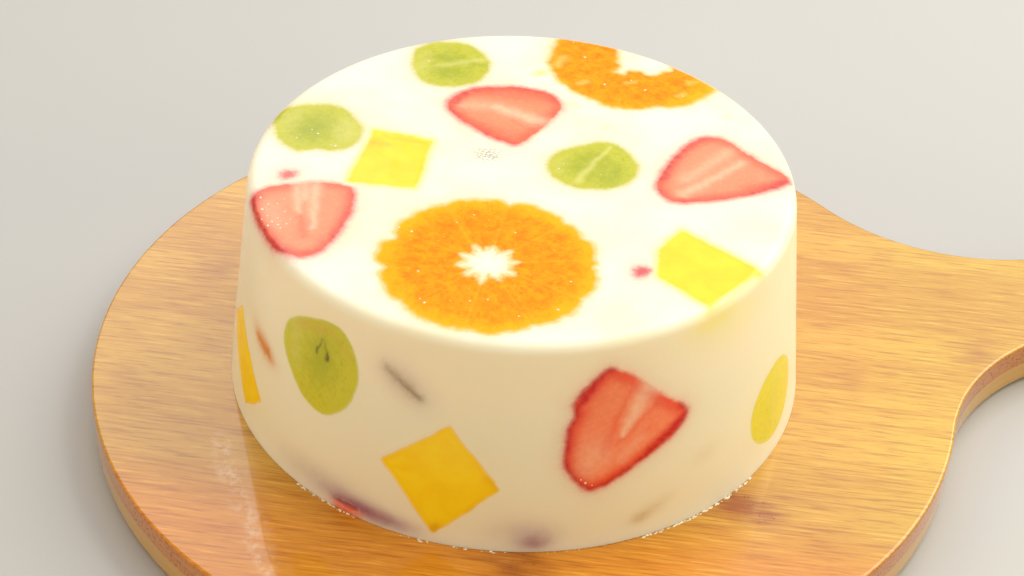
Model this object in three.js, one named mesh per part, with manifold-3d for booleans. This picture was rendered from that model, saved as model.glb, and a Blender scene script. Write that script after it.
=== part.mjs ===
// A milk jelly set with pieces of fruit, turned out of a round mould onto a round
// bamboo board with a handle. Millimetres, +Z up. The origin is on the underside of
// the board, at the centre of its disc, and +X runs along the handle.
//
// The fruit lies against the mould while the jelly sets, so each piece shows one cut
// face, flush with the top or the wall of the jelly, and its bulk is inside. Every
// piece is first a form that is deeper and prouder than it needs to be: cut to the
// moulded body it is the fruit, and a little larger it is the pocket in the jelly.

import * as THREE from 'three';
import { mergeVertices } from 'three/addons/utils/BufferGeometryUtils.js';
import Module from 'manifold-3d';

const wasm = await Module();
wasm.setup();

// ---- driving dimensions ----

const BOARD = {
  discRadius: 125,
  thickness: 15,
  handleWidth: 36.5,
  handleEnd: 235,          // from the disc's centre to the end of the handle
  handleEndRadius: 16,
  neckRadius: 65,          // hollow curve between the disc and the handle
  edgeRadius: 2.6,
  arcStep: 5,              // degrees between the points of the wide curves
  endStep: 15,             // and between those of the handle's end
};

const JELLY = {
  topRadius: 75,
  baseRadius: 82,
  height: 63.5,
  rimRadius: 3,
  footRadius: 1.2,
  segments: 72,
  offset: [-3.4, 0.2],     // its axis, from the centre of the board's disc
  turn: -14.3,             // degrees, from the board's frame to the jelly's own
};

const CLEARANCE = 0.3;     // between each piece and the jelly, and jelly and board
const PROUD = 4;           // how far a form stands out before it is cut to the body
const THIN_WALL = 1;       // jelly left outside the slice that reaches the rim

const DEPTH = { grape: 11, strawberry: 11.5, mango: 12, mandarin: 8, chip: 1.8 };

const COLOUR = {
  bamboo: 0xdda866,
  milk: 0xf7efd9,
  grape: 0xb7c352,
  strawberry: 0xe4483a,
  mango: 0xf3cf2a,
  mandarin: 0xf79a1c,
};

const ROUGHNESS = { bamboo: 0.38, milk: 0.32, fruit: 0.42 };

// ---- solids from geometry, and back ----

function dropFlatTriangles(geometry) {
  const index = geometry.index.array;
  const kept = [];
  for (let i = 0; i < index.length; i += 3) {
    const [a, b, c] = index.slice(i, i + 3);
    if (a !== b && b !== c && c !== a) kept.push(a, b, c);
  }
  geometry.setIndex(kept);
}

function toSolid(geometry) {
  const bare = geometry.clone();
  bare.deleteAttribute('normal');
  bare.deleteAttribute('uv');
  const merged = mergeVertices(bare, 1e-4);
  dropFlatTriangles(merged);
  return new wasm.Manifold(new wasm.Mesh({
    numProp: 3,
    vertProperties: new Float32Array(merged.attributes.position.array),
    triVerts: new Uint32Array(merged.index.array),
  }));
}

function toGeometry(solid) {
  const mesh = solid.getMesh();
  const geometry = new THREE.BufferGeometry();
  geometry.setAttribute('position', new THREE.BufferAttribute(mesh.vertProperties, 3));
  geometry.setIndex(new THREE.BufferAttribute(mesh.triVerts, 1));
  geometry.computeVertexNormals();
  return geometry;
}

function named(name, geometry, colour, roughness) {
  const material = new THREE.MeshStandardMaterial({ color: colour, roughness, metalness: 0 });
  const mesh = new THREE.Mesh(geometry, material);
  mesh.name = name;
  return mesh;
}

// ---- the board ----

// Seen from above: the disc, two hollow neck curves that meet it and the handle
// without a corner, and a handle with a rounded end.
function boardShape() {
  const { discRadius, handleWidth, handleEnd, handleEndRadius, neckRadius } = BOARD;
  const half = handleWidth / 2;
  const neckY = half + neckRadius;
  const touch = Math.asin(neckY / (discRadius + neckRadius));
  const neckX = (discRadius + neckRadius) * Math.cos(touch);
  const endX = handleEnd - handleEndRadius;
  const endY = half - handleEndRadius;
  const shape = new THREE.Shape();
  shape.absarc(0, 0, discRadius, touch, 2 * Math.PI - touch, false);
  shape.absarc(neckX, -neckY, neckRadius, Math.PI - touch, Math.PI / 2, true);
  shape.absarc(endX, -endY, handleEndRadius, -Math.PI / 2, 0, false);
  shape.absarc(endX, endY, handleEndRadius, 0, Math.PI / 2, false);
  shape.absarc(neckX, neckY, neckRadius, -Math.PI / 2, touch - Math.PI, true);
  return shape;
}

function arcSteps(curve) {
  const degrees = THREE.MathUtils.radToDeg(Math.abs(curve.aEndAngle - curve.aStartAngle));
  const step = curve.xRadius > BOARD.handleEndRadius ? BOARD.arcStep : BOARD.endStep;
  return Math.ceil(degrees / step);
}

// The outline's points, evenly spaced on each arc.
function evenOutline(shape) {
  return shape.curves.flatMap((curve) => {
    const steps = curve.isEllipseCurve ? arcSteps(curve) : 1;
    return curve.getPoints(steps).slice(0, -1);
  });
}

function boardGeometry() {
  const { thickness, edgeRadius } = BOARD;
  const shape = new THREE.Shape(evenOutline(boardShape()));
  const geometry = new THREE.ExtrudeGeometry(shape, {
    depth: thickness - 2 * edgeRadius,
    bevelThickness: edgeRadius,
    bevelSize: edgeRadius,
    bevelOffset: -edgeRadius,
    bevelSegments: 2,
  });
  return geometry.translate(0, 0, edgeRadius);
}

// ---- the moulded body ----

function arcPoints(centreX, centreY, radius, from, to, steps) {
  return new THREE.EllipseCurve(centreX, centreY, radius, radius, from, to).getPoints(steps);
}

function bodySolid() {
  const { topRadius, baseRadius, height, rimRadius, footRadius, segments } = JELLY;
  const lean = Math.atan2(baseRadius - topRadius, height);
  const footX = baseRadius - footRadius * Math.tan(Math.PI / 4 + lean / 2);
  const rimX = topRadius - rimRadius * Math.tan(Math.PI / 4 - lean / 2);
  const profile = [
    new THREE.Vector2(0, 0),
    ...arcPoints(footX, footRadius, footRadius, -Math.PI / 2, lean, 2),
    ...arcPoints(rimX, height - rimRadius, rimRadius, lean, Math.PI / 2, 4),
    new THREE.Vector2(0, height),
  ];
  const geometry = new THREE.LatheGeometry(profile, segments);
  return toSolid(geometry.rotateX(Math.PI / 2));
}

// The jelly's own frame: origin under its axis, on the board. A top place has its
// local +Z up; a wall place has +X round to the right, +Y up the wall and +Z out.
function topPlace(x, y) {
  return new THREE.Matrix4().makeTranslation(x, y, JELLY.height);
}

function wallPlace(azimuth, height) {
  const { topRadius, baseRadius } = JELLY;
  const lean = Math.atan2(baseRadius - topRadius, JELLY.height);
  const radius = baseRadius - height * Math.tan(lean);
  return new THREE.Matrix4()
    .makeRotationZ(THREE.MathUtils.degToRad(azimuth))
    .multiply(new THREE.Matrix4().makeTranslation(radius, 0, height))
    .multiply(new THREE.Matrix4().makeRotationY(-lean))
    .multiply(new THREE.Matrix4().makeBasis(
      new THREE.Vector3(0, 1, 0), new THREE.Vector3(0, 0, 1), new THREE.Vector3(1, 0, 0)));
}

// ---- forms of the fruit ----
// Each returns a function of grow, the margin that turns a piece into its pocket.

// A half fruit: the outline round the cut face, drawn in to a point below it.
function halfFruit(outlineAt, depth, around = 26, rings = 6) {
  return (grow) => {
    const geometry = new THREE.SphereGeometry(1, around, rings).rotateX(Math.PI / 2);
    const position = geometry.attributes.position;
    for (let i = 0; i < position.count; i += 1) {
      const turn = Math.atan2(position.getY(i), position.getX(i)) / (2 * Math.PI) + 1;
      const share = Math.hypot(position.getX(i), position.getY(i));
      const edge = outlineAt(turn % 1);
      edge.setLength(edge.length() + grow);
      position.setXYZ(i, edge.x * share, edge.y * share, position.getZ(i) * (depth + grow));
    }
    return geometry;
  };
}

function ellipseOutline(long, across, degrees) {
  const curve = new THREE.EllipseCurve(0, 0, long, across, 0, 2 * Math.PI, false,
    THREE.MathUtils.degToRad(degrees));
  return (turn) => curve.getPoint(turn);
}

function smoothOutline(...corners) {
  const points = corners.map(([x, y]) => new THREE.Vector3(x, y, 0));
  const curve = new THREE.CatmullRomCurve3(points, true, 'centripetal');
  return (turn) => {
    const { x, y } = curve.getPoint(turn);
    return new THREE.Vector2(x, y);
  };
}

const grape = (long, across, degrees) =>
  halfFruit(ellipseOutline(long, across, degrees), DEPTH.grape);

const unevenGrape = (...corners) =>
  halfFruit(smoothOutline(...corners), DEPTH.grape);

const strawberry = (...corners) =>
  halfFruit(smoothOutline(...corners), DEPTH.strawberry);

const chip = (long, across, degrees) =>
  halfFruit(ellipseOutline(long, across, degrees), DEPTH.chip, 10, 4);

// Straight-sided pieces: an outline that runs down into the jelly.
function slab(shapeFor, depth) {
  return (grow) => {
    const geometry = new THREE.ExtrudeGeometry(shapeFor(grow), {
      depth: depth + grow + PROUD,
      bevelEnabled: false,
    });
    return geometry.translate(0, 0, -depth - grow);
  };
}

// Corners run anticlockwise. Each moves out along its bisector.
function grownPolygon(corners, grow) {
  return corners.map((corner, i) => {
    const before = corners.at(i - 1).clone().sub(corner).normalize();
    const after = corners[(i + 1) % corners.length].clone().sub(corner).normalize();
    const halfAngle = Math.acos(before.dot(after)) / 2;
    const inward = before.add(after).normalize();
    return corner.clone().addScaledVector(inward, -grow / Math.sin(halfAngle));
  });
}

function mango(...corners) {
  const points = corners.map(([x, y]) => new THREE.Vector2(x, y));
  return slab((grow) => new THREE.Shape(grownPolygon(points, grow)), DEPTH.mango);
}

// A slice across a mandarin. Its edge is drawn in a little between segments, and
// the open core runs out between them as a star. notch and ray are how sharply.
const SLICE = {
  segments: 10,
  pointsEach: 5,
  drawnIn: 1.1,
  notch: 3,
  coreRadius: 6,
  coreRay: 2.8,
  ray: 1.3,
  tornPoints: 112,         // round the edge of a torn one
};

function betweenSegments(angle, phase) {
  return 1 - Math.abs(Math.sin(SLICE.segments / 2 * (angle - phase)));
}

function polar(radius, angle) {
  return new THREE.Vector2(radius * Math.cos(angle), radius * Math.sin(angle));
}

function mandarin(radius, phaseDegrees) {
  const phase = THREE.MathUtils.degToRad(phaseDegrees);
  const steps = SLICE.segments * SLICE.pointsEach;
  return slab((grow) => {
    const outer = [];
    const inner = [];
    for (let i = 0; i < steps; i += 1) {
      const angle = 2 * Math.PI * i / steps;
      const between = betweenSegments(angle, phase);
      outer.push(polar(radius - SLICE.drawnIn * between ** SLICE.notch + grow, angle));
      inner.push(polar(SLICE.coreRadius + SLICE.coreRay * between ** SLICE.ray - grow, angle));
    }
    const shape = new THREE.Shape(outer);
    shape.holes.push(new THREE.Path(inner));
    return shape;
  }, DEPTH.mandarin);
}

// A slice with part torn away: a smooth edge through the corners, anticlockwise. Each
// point of it moves out squarely with the margin.
function tornMandarin(...corners) {
  const outlineAt = smoothOutline(...corners);
  const points = Array.from({ length: SLICE.tornPoints }, (_, i) =>
    outlineAt(i / SLICE.tornPoints));
  return slab((grow) => new THREE.Shape(points.map((point, i) => {
    const next = points[(i + 1) % points.length];
    const along = next.clone().sub(points.at(i - 1)).normalize();
    return new THREE.Vector2(along.y, -along.x).multiplyScalar(grow).add(point);
  })), DEPTH.mandarin);
}

// ---- where each piece lies, in the jelly's frame ----

const TOP_PIECES = {
  grape_top_back: [grape(13, 12, 92), -22.7, 55.5],
  grape_top_left: [grape(13.1, 11.8, 145), -57.2, 18.1],
  grape_top_middle: [grape(13, 12.4, 28), 19.6, 5.1],
  strawberry_top_back: [strawberry(
    [16.5, 5.5], [10, 12], [0, 13.5], [-12.5, 10.3], [-17.2, 2.5], [-11.8, -6.8],
    [-1, -15.5], [3.8, -17.1], [10.1, -9.4]), -5.7, 31.2],
  strawberry_top_right: [strawberry(
    [20.3, -2.3], [11.3, 8.5], [1.5, 17.8], [-4.5, 16.8], [-13.1, 4.5], [-16.8, -9],
    [-12.5, -15.2], [-1, -13.7], [13, -8.6]), 53.3, 5.2],
  strawberry_top_left: [strawberry(
    [13.9, 6.5], [11.5, 14.5], [-4.5, 14.3], [-13.6, 9.5], [-13.8, -3], [-6.9, -13.8],
    [1.2, -19.2], [7.5, -15.5]), -58.4, -23.6],
  mango_top_left: [mango([11.6, 10.6], [-6.5, 15.2], [-12, -12.4], [8, -14.1]), -36.3, 4.5],
  mango_top_front: [mango(
    [15.8, -0.3], [-5.1, 17], [-12.3, 6.8], [-12.9, -5.3], [0.9, -17.4]), 48.1, -38.7],
  mandarin_top_front: [mandarin(29.2, 8), -8.1, -41.4],
  mandarin_top_back: [tornMandarin(
    [28, -10.5], [24, -3], [18, 1], [13.6, 1], [12.6, -2.8], [9.4, -4.4], [6.4, -5.8],
    [4.5, -4.2], [2.4, -3.6], [0.2, -4.2], [-1.2, -6], [-3.2, -5], [-1.9, -1.5], [-2.6, 3],
    [-2.8, 8], [-3.5, 14], [-12, 16], [-19.5, 13.5], [-22.3, 7], [-23.4, -3], [-20.4, -12.2],
    [-13, -19.2], [-5.5, -24.6], [0.6, -25.6], [8.6, -23.6], [13, -23.2], [19.3, -20],
    [24.6, -14.8]), 29.5, 60.5],
  strawberry_chip_front: [chip(2.1, 1.7, 20), 31.9, -41.7],
  strawberry_chip_left: [chip(1.9, 1.5, 60), -63.9, -5.2],
};

const WALL_PIECES = {
  mango_wall_left: [mango([13.1, -4.6], [-7.5, 12.6], [-17.5, 4.2], [3.1, -13]), -157.7, 18.4],
  grape_wall_left: [unevenGrape(
    [13.3, 3], [11.6, 9.1], [7.3, 14.1], [2, 14.2], [-4.2, 12], [-9.5, 9.3], [-13, 5.6],
    [-14, -0.6], [-10.4, -7.2], [-3.9, -13], [3.5, -14.1], [9.9, -8.9], [12.6, -3]),
  -131.1, 41.2],
  mango_wall_front: [mango([15.6, -0.5], [1.8, 17.5], [-16.3, 1.8], [-1, -17.3]), -102.9, 20.2],
  strawberry_wall_front: [strawberry(
    [20.2, 1.8], [8.6, 11], [-3.4, 20.3], [-9.6, 14.9], [-13, 5], [-14, -8],
    [-6.6, -18.6], [2.4, -15.3], [12.3, -8.1]), -69.6, 36.2],
  grape_wall_right: [grape(13, 11.5, 15), -26.8, 17.5],
  strawberry_wall_right: [strawberry(
    [13.4, 5], [10.5, 15], [-5, 16.5], [-13.5, 10], [-12.5, -4], [-5, -15.5],
    [1.5, -19], [8.2, -11.5]), 15, 38],
  mango_wall_back_right: [mango([14.5, 3.2], [-2.6, 16.4], [-14.6, -1.4], [1.2, -16]), 45, 22],
  grape_wall_back: [grape(13.4, 12.2, 70), 74, 43],
  strawberry_wall_back: [strawberry(
    [19.6, -3], [9, 9.5], [-3, 14.2], [-13, 11.5], [-15.8, 1], [-13.5, -11],
    [-4, -13.8], [8.5, -10.5]), 103, 24],
  mango_wall_back_left: [mango([12, 8.4], [-10.6, 12.4], [-13.4, -8.8], [9.8, -11.6]), 132, 44],
  grape_wall_back_left: [grape(12.6, 11.8, 120), 156, 19],
  mandarin_chip_left: [chip(4.8, 1.1, -15), -149.1, 31.7],
  grape_chip_front: [chip(6.2, 0.9, -34), -111.3, 47],
  strawberry_chip_foot: [chip(4.2, 1, -4), -121.5, 2.4],
};

// ---- the jelly with its fruit ----

function placed(form, grow, place) {
  return toSolid(form(grow).applyMatrix4(place));
}

// What lies near the rim keeps a thin wall of jelly outside it.
function withinWall(solid, grow) {
  const radius = JELLY.topRadius - THIN_WALL + grow;
  const wall = new THREE.CylinderGeometry(radius, radius, 2 * JELLY.height, JELLY.segments);
  wall.rotateX(Math.PI / 2).translate(0, 0, JELLY.height);
  return solid.intersect(toSolid(wall));
}

function fruitColour(name) {
  return COLOUR[name.split('_')[0]];
}

function jellyGroup() {
  const group = new THREE.Group();
  group.position.set(JELLY.offset[0], JELLY.offset[1], BOARD.thickness + CLEARANCE);
  group.rotation.z = THREE.MathUtils.degToRad(JELLY.turn);
  const body = bodySolid();
  let jelly = body;
  const addPiece = (name, form, place, keepsWall) => {
    let piece = placed(form, 0, place);
    let pocket = placed(form, CLEARANCE, place);
    if (keepsWall) {
      piece = withinWall(piece, 0);
      pocket = withinWall(pocket, CLEARANCE);
    }
    jelly = jelly.subtract(pocket);
    const geometry = toGeometry(piece.intersect(body));
    group.add(named(name, geometry, fruitColour(name), ROUGHNESS.fruit));
  };
  for (const [name, [form, x, y]] of Object.entries(TOP_PIECES)) {
    addPiece(name, form, topPlace(x, y), name.startsWith('mandarin'));
  }
  for (const [name, [form, azimuth, height]] of Object.entries(WALL_PIECES)) {
    addPiece(name, form, wallPlace(azimuth, height), false);
  }
  group.add(named('jelly', toGeometry(jelly), COLOUR.milk, ROUGHNESS.milk));
  return group;
}

const part = new THREE.Group();
part.add(named('board', boardGeometry(), COLOUR.bamboo, ROUGHNESS.bamboo));
part.add(jellyGroup());

export default part;
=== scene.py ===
"""Looks of a milk jelly set with fruit, on its bamboo board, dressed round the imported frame.

Shapes are worked out in millimetres, in the jelly's own frame where they belong to the jelly
(origin under its axis, on the board; turned from the board's frame), and become metres in the
frame's own axes when a mesh is made.
"""

import math

import bpy
import numpy as np
from mathutils import Matrix, Vector
from mathutils.geometry import delaunay_2d_cdt


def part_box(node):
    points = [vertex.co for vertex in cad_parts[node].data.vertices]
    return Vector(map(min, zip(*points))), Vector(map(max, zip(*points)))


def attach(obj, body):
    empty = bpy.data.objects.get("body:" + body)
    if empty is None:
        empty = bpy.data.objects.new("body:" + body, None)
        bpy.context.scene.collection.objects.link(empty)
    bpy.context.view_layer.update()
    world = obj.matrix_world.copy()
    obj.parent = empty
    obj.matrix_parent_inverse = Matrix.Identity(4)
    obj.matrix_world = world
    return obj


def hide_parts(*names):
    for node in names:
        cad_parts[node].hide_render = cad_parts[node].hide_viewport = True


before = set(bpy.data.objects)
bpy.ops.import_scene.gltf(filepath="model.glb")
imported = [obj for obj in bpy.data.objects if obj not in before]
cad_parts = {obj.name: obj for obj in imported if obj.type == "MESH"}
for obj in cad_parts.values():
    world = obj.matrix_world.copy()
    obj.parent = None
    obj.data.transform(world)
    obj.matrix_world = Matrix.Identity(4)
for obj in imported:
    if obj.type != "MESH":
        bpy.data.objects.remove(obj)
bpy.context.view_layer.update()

MM = 0.001
TAU = 2 * math.pi

# ---- driving dimensions, in millimetres ----

BOARD_RADIUS = 125.0
BOARD_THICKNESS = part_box("board")[1].z / MM
HANDLE_WIDTH = 36.5
HANDLE_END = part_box("board")[1].x / MM
HANDLE_END_RADIUS = 16.0
NECK_RADIUS = 65.0
BOARD_TOP_EDGE = 0.9
BOARD_LOW_EDGE = 3.0

TOP_RADIUS = 75.0
BASE_RADIUS = 82.0
HEIGHT = (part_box("jelly")[1].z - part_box("jelly")[0].z) / MM
RIM_RADIUS = 3.0
FOOT_RADIUS = 0.16       # the jelly's weight presses its foot nearly square on the board
LIFT = 0.02              # and the foot stands this far above it
GAP_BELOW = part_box("jelly")[0].z / MM - BOARD_THICKNESS
JELLY_TURN = -14.3
LEAN = math.atan2(BASE_RADIUS - TOP_RADIUS, HEIGHT)
RIM_X = TOP_RADIUS - RIM_RADIUS * math.tan(math.pi / 4 - LEAN / 2)

DEPTH = {"grape": 11.0, "strawberry": 11.5, "mango": 12.0, "mandarin": 8.0, "chip": 1.8}

LIP = 0.7                # the jelly rolls down over this width to each piece's face
LIP_DROP = 0.06
FACE_DROP = 0.01         # a piece's face lies this far below the jelly's surface
COVER = 0.45             # and runs this far under the lip, as a thin flange
FLANGE = 0.12
EDGE_RING = 0.06         # a last ring of points this far inside the flange's edge
BODY_INSET = 0.05
SQUARE_SINK = 0.3        # points sink squarely to the surface this far, then along the piece's axis

# The camera, in the jelly's frame: height above the board's top, tilt down and roll.
CAMERA_AT = (-1.52, -497.5, 406.3)
CAMERA_TILT = 37.51
CAMERA_ROLL = 2.66
FOCAL_PIXELS = 2200.0
PICTURE_WIDTH = 1024.0
SENSOR_WIDTH = 36.0


# ---- frames ----

def jelly_matrix():
    low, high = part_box("jelly")
    centre = (low + high) / 2
    turn = Matrix.Rotation(math.radians(JELLY_TURN), 4, "Z")
    return Matrix.Translation((centre.x, centre.y, low.z)) @ turn


JELLY_FRAME = jelly_matrix()


def to_frame(points):
    """Points of the jelly's frame, in millimetres, as metres in the part's frame."""
    turn = np.array(JELLY_FRAME.to_3x3())
    return np.asarray(points) * MM @ turn.T + np.array(JELLY_FRAME.translation)


# ---- numbers ----

def smooth(low, high, x):
    """0 up to low, 1 from high on, with a soft step between."""
    t = np.clip((np.asarray(x, float) - low) / (high - low), 0, 1)
    return t * t * (3 - 2 * t)


def wobble(turns, seed, waves, fade=0.6):
    """A closed, seeded ripple of unit size: turns runs from 0 to 1 round a loop."""
    rng = np.random.default_rng(seed)
    total = np.zeros_like(turns)
    size = 0.0
    for count in waves:
        weight = count ** -fade
        total += weight * np.sin(TAU * (count * turns + rng.random()))
        size += weight * weight / 2
    return total / math.sqrt(size)


def lattice_noise(points, cell, seed, size=64):
    """Smooth noise from -1 to 1 at 2D points, on a lattice with the given cell size."""
    scaled = np.asarray(points, float) / cell
    corner = np.floor(scaled).astype(int)
    part = scaled - corner
    part = part * part * (3 - 2 * part)
    table = np.random.default_rng(seed).uniform(-1, 1, (size, size))

    def at(i, j):
        return table[(corner[:, 0] + i) % size, (corner[:, 1] + j) % size]

    low = at(0, 0) * (1 - part[:, 0]) + at(1, 0) * part[:, 0]
    high = at(0, 1) * (1 - part[:, 0]) + at(1, 1) * part[:, 0]
    return low * (1 - part[:, 1]) + high * part[:, 1]


def to_segment(points, start, end):
    """Distance to a segment, and the share of its length at the nearest point."""
    start, end = np.array(start, float), np.array(end, float)
    way = end - start
    share = np.clip((points - start) @ way / (way @ way), 0, 1)
    return np.linalg.norm(points - start - share[:, None] * way, axis=1), share


def from_axis(points):
    return np.hypot(points[:, 0], points[:, 1])


def angle_of(points):
    return np.arctan2(points[:, 1], points[:, 0])


def along_across(x, y, angle):
    """Coordinates along and across a direction."""
    c, s = math.cos(angle), math.sin(angle)
    return x * c + y * s, y * c - x * s


def ring_edges(start, count):
    return [(start + i, start + (i + 1) % count) for i in range(count)]


def loop_normals(loop):
    """Unit vectors out of an anticlockwise loop."""
    along = np.roll(loop, -1, 0) - np.roll(loop, 1, 0)
    normal = np.stack([along[:, 1], -along[:, 0]], -1)
    return normal / np.linalg.norm(normal, axis=1, keepdims=True)


def resample(loop, count):
    """The loop through evenly spaced points."""
    closed = np.vstack([loop, loop[:1]])
    step = np.r_[0, np.cumsum(np.linalg.norm(np.diff(closed, axis=0), axis=1))]
    at = np.linspace(0, step[-1], count, endpoint=False)
    return np.stack([np.interp(at, step, closed[:, k]) for k in (0, 1)], -1)


CHUNK = 1500             # points worked on at a time, which keeps the tables small
TINY = 1e-9


def signed_distance(points, loop):
    """Distance from each point to a closed loop, negative inside it."""
    result = np.empty(len(points))
    edge = np.roll(loop, -1, 0) - loop
    above = loop + edge
    length2 = np.maximum((edge * edge).sum(1), 1e-12)
    rise = np.where(np.abs(edge[:, 1]) < 1e-12, 1e-12, edge[:, 1])
    for start in range(0, len(points), CHUNK):
        p = points[start:start + CHUNK, None]
        rel = p - loop[None]
        t = np.clip((rel * edge).sum(-1) / length2, 0, 1)
        away = np.sqrt(((rel - t[..., None] * edge) ** 2).sum(-1)).min(1)
        spans = (loop[:, 1] > p[..., 1]) != (above[:, 1] > p[..., 1])
        cross = loop[:, 0] + (p[..., 1] - loop[:, 1]) * edge[:, 0] / rise
        inside = (spans & (p[..., 0] < cross)).sum(1) % 2 == 1
        result[start:start + CHUNK] = np.where(inside, -away, away)
    return result


# ---- the jelly's outer surface ----
# It is unrolled from the middle of the top outward: path is the way along the profile,
# and plane is the radius that path gets in a flat map that keeps the shapes of triangles.

def profile_table(step=0.02):
    """The jelly's outline in section, from the middle of its top to its foot."""
    rim_turn = math.pi / 2 - LEAN
    foot_turn = math.pi / 2 + LEAN
    low = LIFT - GAP_BELOW
    points = [(x, HEIGHT) for x in np.arange(0, RIM_X, step)]
    for a in np.linspace(0, rim_turn, int(RIM_RADIUS * rim_turn / step)):
        points.append((RIM_X + RIM_RADIUS * math.sin(a), HEIGHT - RIM_RADIUS + RIM_RADIUS * math.cos(a)))
    top_of_foot = low + FOOT_RADIUS + FOOT_RADIUS * math.sin(LEAN)
    x, z = points[-1]
    for k in np.arange(step, (z - top_of_foot) / math.cos(LEAN), step):
        points.append((x + k * math.sin(LEAN), z - k * math.cos(LEAN)))
    foot_x = points[-1][0] - FOOT_RADIUS * math.cos(LEAN)
    for a in np.linspace(LEAN, LEAN - foot_turn, int(FOOT_RADIUS * foot_turn / step)):
        points.append((foot_x + FOOT_RADIUS * math.cos(a), low + FOOT_RADIUS + FOOT_RADIUS * math.sin(a)))
    return np.array(points)


PROFILE = profile_table()
PATH = np.r_[0, np.cumsum(np.linalg.norm(np.diff(PROFILE, axis=0), axis=1))]
WALL_PATH = RIM_X + RIM_RADIUS * (math.pi / 2 - LEAN)
WALL_TOP = HEIGHT - RIM_RADIUS + RIM_RADIUS * math.sin(LEAN)
PLANE = PATH.copy()
_outer = PATH > RIM_X
_growth = np.cumsum(np.diff(PATH)[_outer[1:]] / PROFILE[1:, 0][_outer[1:]])
PLANE[_outer] = RIM_X * np.exp(_growth)


def surface_point(path, azimuth):
    x = np.interp(path, PATH, PROFILE[:, 0])
    z = np.interp(path, PATH, PROFILE[:, 1])
    return np.stack([x * np.cos(azimuth), x * np.sin(azimuth), z], -1)


def wall_radius(z):
    return BASE_RADIUS - z * math.tan(LEAN)


def path_of(points):
    """The way along the profile to points of the surface above the foot."""
    radius = from_axis(points)
    turn = np.arctan2(radius - RIM_X, points[:, 2] - HEIGHT + RIM_RADIUS)
    over = np.where(radius < RIM_X, radius, RIM_X + RIM_RADIUS * turn)
    down = WALL_PATH + (WALL_TOP - points[:, 2]) / math.cos(LEAN)
    return np.where(points[:, 2] < WALL_TOP, down, over)


def map_of(points):
    """Surface points to the flat map."""
    radius = np.maximum(from_axis(points), TINY)
    return points[:, :2] * (np.interp(path_of(points), PATH, PLANE) / radius)[:, None]


def unroll(points):
    """Places seen from above, with the way down over the rim laid flat."""
    radius = np.linalg.norm(points, axis=1)
    over = np.clip((radius - RIM_X) / RIM_RADIUS, 0, 1)
    path = np.where(radius < RIM_X, radius, RIM_X + RIM_RADIUS * np.arcsin(over))
    return points * (path / np.maximum(radius, TINY))[:, None]


def sink(points, depth, axis):
    """Surface points moved in by depth: squarely at first, then along the piece's axis."""
    radius = np.maximum(from_axis(points), TINY)
    up = np.clip((points[:, 2] - HEIGHT + RIM_RADIUS) / RIM_RADIUS, math.sin(LEAN), 1)
    out = np.sqrt(1 - up * up) / radius
    normal = np.stack([points[:, 0] * out, points[:, 1] * out, up], -1)
    first = np.minimum(depth, SQUARE_SINK)[:, None]
    return points - first * normal - (depth[:, None] - first) * axis


# ---- outlines of the fruit ----
# Each is a closed loop, anticlockwise, round the piece's own origin.

def rippled(loop, ripple, seed, waves, fade=0.6):
    shift = ripple * wobble(np.arange(len(loop)) / len(loop), seed, waves, fade)
    return loop + loop_normals(loop) * shift[:, None]


def ellipse(long, across, degrees, count=180, ripple=0.08, seed=1):
    turns = np.arange(count) / count
    loop = np.stack([long * np.cos(TAU * turns), across * np.sin(TAU * turns)], -1)
    c, s = math.cos(math.radians(degrees)), math.sin(math.radians(degrees))
    return rippled(loop @ np.array([[c, s], [-s, c]]), ripple, seed, (2, 3, 5, 8, 13))


def through(corners, count=220, ripple=0.08, seed=1, steps=40):
    """A smooth closed curve through the corners, with knots spaced by their distances."""
    corners = np.asarray(corners, float)
    total = len(corners)
    pieces = []
    for i in range(total):
        p0, p1, p2, p3 = (corners[(i + k) % total] for k in (-1, 0, 1, 2))
        d0, d1, d2 = (math.sqrt(np.linalg.norm(b - a)) for a, b in ((p0, p1), (p1, p2), (p2, p3)))
        m1 = ((p1 - p0) / d0 - (p2 - p0) / (d0 + d1) + (p2 - p1) / d1) * d1
        m2 = ((p2 - p1) / d1 - (p3 - p1) / (d1 + d2) + (p3 - p2) / d2) * d1
        t = np.linspace(0, 1, steps, endpoint=False)[:, None]
        pieces.append((2 * t ** 3 - 3 * t ** 2 + 1) * p1 + (t ** 3 - 2 * t ** 2 + t) * m1
                      + (3 * t ** 2 - 2 * t ** 3) * p2 + (t ** 3 - t ** 2) * m2)
    return rippled(resample(np.vstack(pieces), count), ripple, seed, (5, 9, 16, 27, 41), 0.25)


def cut_corners(corners, count=200, ripple=0.14, seed=1, corner_radius=1.1):
    """A polygon with its corners worn round and its sides a little uneven."""
    loop = resample(np.asarray(corners, float), count)
    length = np.linalg.norm(np.roll(loop, -1, 0) - loop, axis=1).sum()
    reach = max(1, round(corner_radius / (length / count)))
    kernel = np.hanning(2 * reach + 3)[1:-1]
    kernel /= kernel.sum()
    rounded = sum(w * np.roll(loop, k - reach, 0) for k, w in enumerate(kernel))
    return rippled(rounded, ripple, seed, (3, 5, 8, 13, 21))


SLICE_SEGMENTS = 10
SLICE_SEED = 60
SLICE_REACH = 29.0
SLICE_DRAWN_IN = 1.1     # the edge is drawn in this far between two segments
SLICE_NOTCH = 3.0        # and more sharply the larger this power is
SLICE_CORE = 5.6
SLICE_RAY = 2.3          # the core reaches this much further out between two segments
SLICE_RAY_POWER = 1.3
SLICE_RAGGED = 0.24      # how uneven the outer edge is, and the core's
CORE_RAGGED = 0.4


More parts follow.
